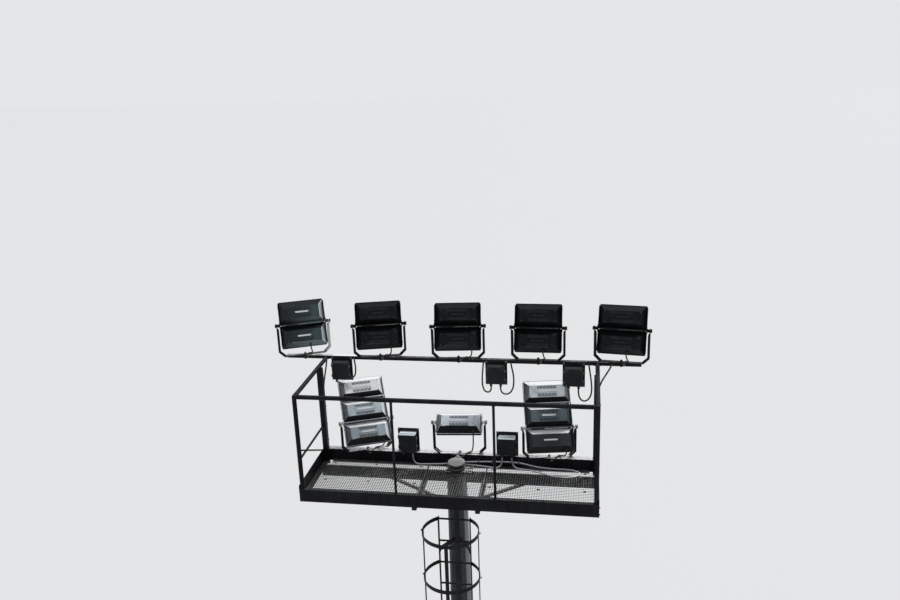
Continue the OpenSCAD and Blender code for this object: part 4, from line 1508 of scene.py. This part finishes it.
@dataclass
class YokeTrim:
    """Folded lips along both edges of the yokes' arms, in the yoke's own finish."""

    inner_x: float = 0.299
    bend_z: float = 0.0675
    edge_y: float = 0.025
    width: float = 0.020
    thick: float = 0.003
    stop: float = 0.050
    bar_thick: float = 0.006
    tip: float = 0.016
    tip_share: float = 0.35
    broken: float = 0.0007

    def lip(self, rise: float) -> Piece:
        """Pattern of one lip on the right arm, its lower end along the bend of the bar.

        Args:
            rise: height of the lamp's pins above the yoke's foot.

        Returns:
            The lip along the arm's -Y edge.
        """
        high = rise - self.stop
        size = (self.width, self.thick, high - self.bend_z)
        middle = (self.inner_x - self.width / 2, self.thick / 2 - self.edge_y, (high + self.bend_z) / 2)
        run = self.bend_z - self.bar_thick
        along_bend, upward = {"value": (-run, 0, -run)}, {"value": (0, 0, self.tip)}
        share, wall = (self.tip_share, 1, 1), (self.inner_x, 0, 0)
        lip = Bench.block(size, middle)
        Bench.edit(
            lip,
            lambda: bpy.ops.mesh.extrude_region_move(TRANSFORM_OT_translate=along_bend),
            pick=lambda centre, normal: normal.z < -0.9,
        )
        Bench.edit(
            lip,
            lambda: bpy.ops.mesh.extrude_region_move(TRANSFORM_OT_translate=upward),
            lambda: bpy.ops.transform.resize(value=share, center_override=wall),
            pick=faces_up,
        )
        return Bench.soften(lip, self.broken)

    def build(self) -> None:
        """Folds the lips of every yoke."""
        flips = [Matrix.Diagonal((x, y, 1, 1)) for x in SIDES for y in SIDES]
        for lamp in LAMPS:
            rise = lamp.head.translation.z - lamp.foot.translation.z
            lips = Bench.repeat(self.lip(rise), [lamp.foot @ flip for flip in flips], f"{lamp.yoke}_lips")
            Bench.mount(lips, lamp.yoke_slot, frame["nodes"][lamp.yoke].data.materials[0], lamp.yoke)
        log.info("yoke trim: lips of %d yokes", len(LAMPS))


UPPER_ROUTES: tuple[tuple[Point, ...], ...] = (
    (
        (0.380, 0.297, 0.925), (0.380, 0.297, 0.882), (0.366, 0.300, 0.852), (0.340, 0.306, 0.838),
        (0.308, 0.314, 0.848), (0.284, 0.326, 0.890), (0.276, 0.336, 0.960), (0.280, 0.340, 1.060),
        (0.288, 0.342, 1.140), (0.292, 0.350, 1.180), (0.292, 0.373, 1.180),
    ),
    (
        (0.490, 0.297, 0.925), (0.490, 0.297, 0.880), (0.506, 0.296, 0.842), (0.540, 0.294, 0.826),
        (0.584, 0.292, 0.836), (0.620, 0.292, 0.880), (0.638, 0.296, 0.960), (0.634, 0.306, 1.060),
        (0.616, 0.324, 1.140), (0.606, 0.346, 1.180), (0.606, 0.373, 1.180),
    ),
    (
        (1.364, 0.297, 0.925), (1.364, 0.297, 0.870), (1.376, 0.304, 0.810), (1.404, 0.308, 0.772),
        (1.444, 0.312, 0.766), (1.486, 0.320, 0.800), (1.508, 0.330, 0.880), (1.504, 0.338, 0.980),
        (1.488, 0.342, 1.100), (1.476, 0.350, 1.180), (1.476, 0.373, 1.180),
    ),
    (
        (-1.2605, 0.297, 0.974), (-1.2465, 0.297, 0.974), (-1.226, 0.300, 0.984), (-1.212, 0.308, 1.012),
        (-1.208, 0.322, 1.060), (-1.214, 0.338, 1.120), (-1.222, 0.346, 1.160), (-1.226, 0.354, 1.180),
        (-1.226, 0.373, 1.180),
    ),
    (
        (-1.576, 0.398, 1.168), (-1.576, 0.398, 1.144), (-1.574, 0.372, 1.104), (-1.570, 0.300, 1.030),
        (-1.566, 0.220, 0.950), (-1.562, 0.160, 0.850), (-1.558, 0.132, 0.720), (-1.558, 0.132, 0.400),
        (-1.558, 0.132, 0.130),
    ),
    (
        (1.720, 0.373, 1.180), (1.720, 0.352, 1.180), (1.708, 0.328, 1.162), (1.664, 0.262, 1.112),
        (1.608, 0.190, 1.036), (1.576, 0.148, 0.930), (1.564, 0.132, 0.800), (1.564, 0.132, 0.400),
        (1.564, 0.132, 0.130),
    ),
)
LOWER_ROUTES: tuple[tuple[Point, ...], ...] = (
    (
        (-0.524, 0.090, 0.145), (-0.524, 0.090, 0.120), (-0.518, 0.086, 0.060), (-0.500, 0.082, 0.024),
        (-0.460, 0.080, 0.005), (-0.380, 0.084, 0.005), (-0.300, 0.092, 0.005), (-0.220, 0.100, 0.005),
        (-0.150, 0.107, 0.008), (-0.110, 0.107, 0.012), (-0.058, 0.107, 0.012),
    ),
    (
        (0.514, 0.090, 0.145), (0.514, 0.090, 0.120), (0.506, 0.084, 0.060), (0.490, 0.078, 0.024),
        (0.450, 0.074, 0.005), (0.380, 0.076, 0.005), (0.300, 0.092, 0.005), (0.220, 0.102, 0.005),
        (0.150, 0.107, 0.008), (0.110, 0.107, 0.010), (0.058, 0.107, 0.010),
    ),
    (
        (0.624, 0.090, 0.145), (0.624, 0.090, 0.120), (0.634, 0.086, 0.060), (0.660, 0.076, 0.020),
        (0.720, 0.066, 0.005), (0.820, 0.050, 0.005), (0.940, 0.004, 0.005), (1.060, -0.050, 0.005),
        (1.180, -0.078, 0.005), (1.290, -0.070, 0.005), (1.372, -0.028, 0.005), (1.390, 0.020, 0.005),
        (1.350, 0.070, 0.005), (1.260, 0.098, 0.005), (1.100, 0.104, 0.005), (0.900, 0.106, 0.020),
        (0.700, 0.107, 0.060), (0.400, 0.107, 0.060), (0.200, 0.107, 0.050), (0.110, 0.107, 0.044),
        (0.058, 0.107, 0.044),
    ),
)


@dataclass
class Cabling:
    """Round sheathed cables in place of the CAD's faceted ones, with clamps, grommets and glands."""

    palette: Palette
    radius: float = 0.009
    stand_off: float = 0.012
    post_face: float = 0.120
    posts: Span = (-1.558, 1.564)
    post_heights: tuple[float, ...] = (0.25, 0.45, 0.68)
    web_clamps: tuple[Pair, ...] = ((0.24, 0.053), (0.40, 0.060), (0.70, 0.060))
    upper_x: tuple[float, ...] = (-1.437, 0.380, 0.490, 1.254, 1.364)
    upper_root: Pair = (0.297, 0.949)
    lower_x: tuple[float, ...] = (-0.634, -0.524, 0.514, 0.624)
    lower_root: Pair = (0.090, 0.169)
    side_root: Point = (-1.2845, 0.297, 0.974)
    spare_x: tuple[float, ...] = (-1.437, 1.254, -0.634)

    def lines(self) -> None:
        """Draws the cables of both CAD nodes."""
        for node, routes, finish in (
            ("cables_upper", UPPER_ROUTES, self.palette.rubber),
            ("cables_lower", LOWER_ROUTES, self.palette.sheath),
        ):
            tubes = [Bench.tube([lifted(at) for at in route], self.radius, node, 16) for route in routes]
            piece = Bench.join(tubes, node.replace("cables", "sheathed_cables"))
            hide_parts(node)
            Bench.mount(piece, "cable", finish)

    def clamps(self) -> None:
        """Holds the cables on the front posts and on the web of the lower arm."""
        places = [
            Bench.stand(lifted((x, self.post_face, z)), AHEAD) for x in self.posts for z in self.post_heights
        ]
        sideways = Matrix.Rotation(math.pi / 2, 4, "Z")
        places += [Bench.stand(lifted((x, self.post_face, z)), BACK) @ sideways for x, z in self.web_clamps]
        clamps = Bench.repeat(Hardware.clamp(self.radius, self.stand_off), places, "cable_clamps")
        Bench.mount(clamps, "dark_steel", self.palette.bolt)

    def grommets(self) -> None:
        """Rings where the cables go into the arms and the bracket."""
        spots = [(route[-1], BACK) for route in UPPER_ROUTES[:4]]
        spots += [(UPPER_ROUTES[4][0], DOWN), (UPPER_ROUTES[5][0], BACK)]
        spots += [(route[-1], UP) for route in UPPER_ROUTES[4:]]
        spots += [(route[-1], (math.copysign(1, route[-1][0]), 0, 0)) for route in LOWER_ROUTES]
        places = [Bench.stand(lifted(at), along) for at, along in spots]
        rings = Bench.repeat(Hardware.weld_ring(self.radius + 0.0025, 0.0035), places, "cable_grommets")
        Bench.mount(Bench.smooth(rings, 60), "cable", self.palette.rubber)

    def glands(self) -> None:
        """Glands of the gear boxes, and plugs in the ones that hold no cable."""
        roots = {x: (x, *self.upper_root) for x in self.upper_x}
        roots |= {x: (x, *self.lower_root) for x in self.lower_x}
        places = [Bench.stand(lifted(at), DOWN) for at in roots.values()]
        places.append(Bench.stand(lifted(self.side_root), (1, 0, 0)))
        glands = Bench.repeat(Hardware.gland(0.0135, 0.038), places, "gear_glands")
        Bench.mount(glands, "gear_housing", self.palette.rubber)
        places = [Bench.stand(lifted(roots[x]), DOWN) for x in self.spare_x]
        plugs = Bench.repeat(Bench.bar(0.0105, 0.030, 0.043, bevel=0.003), places, "gland_plugs")
        Bench.mount(Bench.smooth(plugs), "gear_housing", self.palette.sheath)

    def build(self) -> None:
        """Builds all of the cabling."""
        self.lines()
        self.clamps()
        self.grommets()
        self.glands()
        log.info("cabling: %d cables", len(UPPER_ROUTES) + len(LOWER_ROUTES))


@dataclass
class GearTrim:
    """Lid screws, hinges, latches, bare plates and fixing bolts of the five gear boxes.

    The places count from the middle of the mounting plate's lower edge, with the lid towards -Y.
    """

    palette: Palette
    half_x: float = 0.1025
    lid_screws: Pair = (0.080, 0.086)
    plate_bolts: tuple[float, Pair] = (0.112, (0.012, 0.278))
    box_depth: float = 0.096
    box_rise: float = 0.143
    hinges: tuple[float, float] = (-0.062, 0.062)
    latches: tuple[float, float] = (-0.05, 0.05)
    upper: tuple[float, ...] = (-1.382, 0.435, 1.309)
    upper_foot: Pair = (0.367, 0.910)
    lower: tuple[float, ...] = (-0.579, 0.569)
    lower_foot: Pair = (0.160, 0.130)

    def on_lid(self, x: float, z: float) -> Matrix:
        """A place on the flat of the lid, from its middle."""
        return Bench.stand((x, -self.box_depth, self.box_rise + z), BACK)

    def screws(self) -> Piece:
        """Pattern of the lid's corner screws and the plate's bolts.

        Returns:
            All of them as one object.
        """
        corners = [self.on_lid(x * self.lid_screws[0], z * self.lid_screws[1]) for x in SIDES for z in SIDES]
        lid = Bench.repeat(Hardware.pan_screw(0.0055), corners, "lid_screws")
        bolt_x, heights = self.plate_bolts
        feet = [Bench.stand((side * bolt_x, 0, z), BACK) for side in SIDES for z in heights]
        return Bench.join([lid, Bench.repeat(Hardware.hex_bolt(0.013, stud=0.002), feet, "bolts")], "screws")

    def fittings(self) -> Piece:
        """Pattern of the hinges on the left of the lid and the toggle latches on its right.

        Returns:
            All of them as one object.
        """
        parts = []
        for z in self.hinges:
            middle = self.box_rise + z
            barrel = Bench.bar(0.0062, middle - 0.017, middle + 0.017, 14, 0.001)
            parts.append(Bench.moved(barrel, Matrix.Translation((-self.half_x - 0.004, -0.077, 0))))
            parts.append(Bench.block((0.012, 0.022, 0.028), (0.001 - self.half_x, -0.066, middle), 0.002))
        for z in self.latches:
            middle = self.box_rise + z
            parts.append(Bench.block((0.010, 0.034, 0.022), (self.half_x + 0.001, -0.068, middle), 0.003))
            parts.append(Bench.block((0.006, 0.020, 0.012), (self.half_x + 0.006, -0.072, middle), 0.002))
        return Bench.join(parts, "fittings")

    def build(self) -> None:
        """Fits the five boxes."""
        feet = [(x, *self.upper_foot) for x in self.upper] + [(x, *self.lower_foot) for x in self.lower]
        places = [Matrix.Translation(lifted(at)) for at in feet]
        plate = Bench.moved(Hardware.name_plate(0.084, 0.034), self.on_lid(0, 0.030))
        for name, pattern, finish in (
            ("gear_screws", self.screws(), self.palette.bolt),
            ("gear_fittings", self.fittings(), self.palette.bolt),
            ("gear_plates", plate, self.palette.gear),
        ):
            Bench.mount(Bench.repeat(pattern, places, name), "gear_housing", finish)
        log.info("gear trim: %d boxes", len(places))


@dataclass
class MastTrim:
    """Holding-down bolts, door screws and the bolts of ladder and cage.

    Each part of the ladder starts 28 rungs below the one above, and carries a hoop at every second rung.
    """

    palette: Palette
    anchors: int = 12
    anchor_r: float = 0.35
    flange_top: float = 0.035
    door: Pair = (0.2694, 1.18)
    door_rows: tuple[float, ...] = (-0.25, -0.083, 0.083, 0.25)
    door_screw_y: float = 0.042
    door_plate_z: float = 0.17
    taper: float = 0.00729
    ladder_at: Point = (0.0, -0.29902, 24.034)
    lean: float = -0.41775
    rung: float = 0.28
    rungs: int = 28
    hoops_to: tuple[int, ...] = (26, 26, 20)
    bracket_rungs: tuple[int, ...] = (1, 8, 15, 22)
    cage_r: float = 0.316
    cage_y: float = -0.2524
    hoop_thick: float = 0.006
    stile_x: float = 0.163
    bracket_bolts_y: Pair = (-0.008, 0.014)

    def foot(self) -> None:
        """Nuts on the studs of the flange."""
        places = []
        for i in range(self.anchors):
            turn = Matrix.Rotation(math.tau / self.anchors * (i + 0.5), 4, "Z")
            places.append(turn @ Matrix.Translation((self.anchor_r, 0, self.flange_top)))
        nuts = Bench.repeat(Hardware.hex_bolt(0.046, stud=0.03), places, "anchor_nuts")
        Bench.mount(nuts, "zinc", self.palette.zinc)

    def on_door(self, y: float, dz: float) -> Matrix:
        """A place on the tapered face of the door, from its middle."""
        face, middle = self.door
        return Bench.stand((face - dz * self.taper, y, middle + dz), (1, 0, self.taper))

    def door_screws(self) -> None:
        """Screws of the service door and its bare plate."""
        places = [self.on_door(side * self.door_screw_y, dz) for dz in self.door_rows for side in SIDES]
        screws = Bench.repeat(Hardware.hex_bolt(0.013), places, "door_screws")
        Bench.mount(screws, "zinc", self.palette.zinc)
        plate = Bench.moved(Hardware.name_plate(0.060, 0.040), self.on_door(0, self.door_plate_z))
        plate.name = "door_plate"
        Bench.mount(plate, "zinc", self.palette.plate)

    def climbing_way(self) -> None:
        """Bolts of the hoops and of the ladder's brackets."""
        nuts, cups = [], []
        side_x, back_y = self.cage_r + self.hoop_thick, self.cage_y - self.cage_r + self.hoop_thick
        for part, last in enumerate(self.hoops_to):
            for i in range(0, last + 1, 2):
                z = -(self.rungs * part + i) * self.rung
                nuts += [Bench.stand((side * side_x, self.cage_y, z), (side, 0, 0)) for side in SIDES]
                cups.append(Bench.stand((0, back_y, z), AHEAD))
            for i in self.bracket_rungs:
                z = -(self.rungs * part + i + 0.5) * self.rung + 0.025
                nuts += [
                    Bench.stand((side * self.stile_x, y, z), (side, 0, 0))
                    for side in SIDES for y in self.bracket_bolts_y
                ]
        lean = Matrix.Rotation(math.radians(self.lean), 4, "X")
        ladder = Matrix.Translation(self.ladder_at) @ lean
        for name, pattern, places in (
            ("ladder_nuts", Hardware.hex_bolt(0.014, stud=0.003), nuts),
            ("cage_screws", Hardware.pan_screw(0.009), cups),
        ):
            bolts = Bench.repeat(pattern, [ladder @ place for place in places], name)
            Bench.mount(bolts, "dark_steel", self.palette.bolt)

    def build(self) -> None:
        """Fits the mast and the climbing way."""
        self.foot()
        self.door_screws()
        self.climbing_way()
        log.info("mast trim: anchors, door, ladder and cage")


@dataclass
class PlatformTrim:
    """Welds, clips, caps and bolts of the platform, guardrail and arms, at heights above the floor."""

    palette: Palette
    corner: Pair = (1.570, -0.770)
    thin_post: Pair = (0.530, -0.780)
    post_foot_z: float = 0.112
    rail_z: float = 1.178
    rail_r: float = 0.024
    thin_r: float = 0.0145
    middle_z: float = 0.450
    middle_r: float = 0.013
    bead: float = 0.0028
    frame_bolts: tuple[tuple[float, Span], ...] = ((-0.775, (-0.02, 0.06)), (0.10, (0.0, 0.09)))
    frame_x: float = 1.6
    clips_x: tuple[float, ...] = (0.42, 0.95, 1.45)
    clips_y: tuple[float, ...] = (-0.70, -0.36, 0.03)
    clip_size: Point = (0.030, 0.024, 0.003)
    grate_z: float = -0.004
    arm_end: Point = (2.045, 0.398, 1.188)
    cap_size: Point = (0.004, 0.0495, 0.0395)

    def welds(self) -> None:
        """Fillet welds at the corner posts' feet, the thin posts' heads and the ends of the rails."""
        x, y = self.corner
        thin_x, thin_y = self.thin_post
        rings = []
        for radius, spots in (
            (self.rail_r, ((x, y, self.post_foot_z, UP), (x, y + 0.050, self.rail_z, AHEAD))),
            (self.thin_r, ((thin_x, thin_y, self.rail_z - 0.0235, UP),)),
            (self.middle_r, ((x, y + 0.0225, self.middle_z, AHEAD), (x, 0.0595, self.middle_z, AHEAD))),
        ):
            places = [
                Bench.stand(lifted((side * at_x, at_y, z)), along)
                for at_x, at_y, z, along in spots for side in SIDES
            ]
            rings.append(Bench.repeat(Hardware.weld_ring(radius, self.bead), places, "rings"))
        Bench.mount(Bench.smooth(Bench.join(rings, "rail_welds"), 60), "dark_steel", self.palette.rail)

    def bolts(self) -> None:
        """Bolts at the corners of the frame."""
        places = [
            Bench.stand(lifted((side * self.frame_x, y, z)), (side, 0, 0))
            for side in SIDES for y, heights in self.frame_bolts for z in heights
        ]
        bolts = Bench.repeat(Hardware.hex_bolt(0.013), places, "frame_bolts")
        Bench.mount(bolts, "dark_steel", self.palette.bolt)

    def clips(self) -> None:
        """Saddle clips that hold the grating down."""
        thick = self.clip_size[2]
        saddle = Bench.block(self.clip_size, (0, 0, thick / 2), bevel=0.001)
        screw = Bench.moved(Hardware.pan_screw(0.006), Matrix.Translation((0, 0, thick)))
        spots = [(side * x, y, self.grate_z) for side in SIDES for x in self.clips_x for y in self.clips_y]
        places = [Bench.stand(lifted(at)) for at in spots]
        clips = Bench.repeat(Bench.join([saddle, screw], "clip"), places, "grating_clips")
        Bench.mount(clips, "grating", self.palette.bolt)

    def caps(self) -> None:
        """Moulded plugs in the open ends of the upper arm."""
        x, y, z = self.arm_end
        cap = Bench.soften(Bench.block(self.cap_size, (self.cap_size[0] / 2, 0, 0)), 0.0015)
        places = [
            Matrix.Translation(lifted((side * x, y, z))) @ Matrix.Diagonal((side, 1, 1, 1)) for side in SIDES
        ]
        Bench.mount(Bench.repeat(cap, places, "arm_caps"), "dark_steel", self.palette.rubber)

    def build(self) -> None:
        """Fits the platform."""
        self.welds()
        self.bolts()
        self.clips()
        self.caps()
        log.info("platform trim: welds, bolts, clips and caps")


def main() -> None:
    """Builds the sub-assemblies in order."""
    logging.basicConfig(level=logging.INFO, format="%(message)s")
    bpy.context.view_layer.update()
    palette = Palette()
    for part in (
        Studio(),
        Coats(palette),
        Grating(palette),
        LampFront(palette),
        LampTrim(palette),
        LampLead(palette),
        YokeTrim(),
        Cabling(palette),
        GearTrim(palette),
        MastTrim(palette),
        PlatformTrim(palette),
    ):
        part.build()


if __name__ == "__main__":
    main()
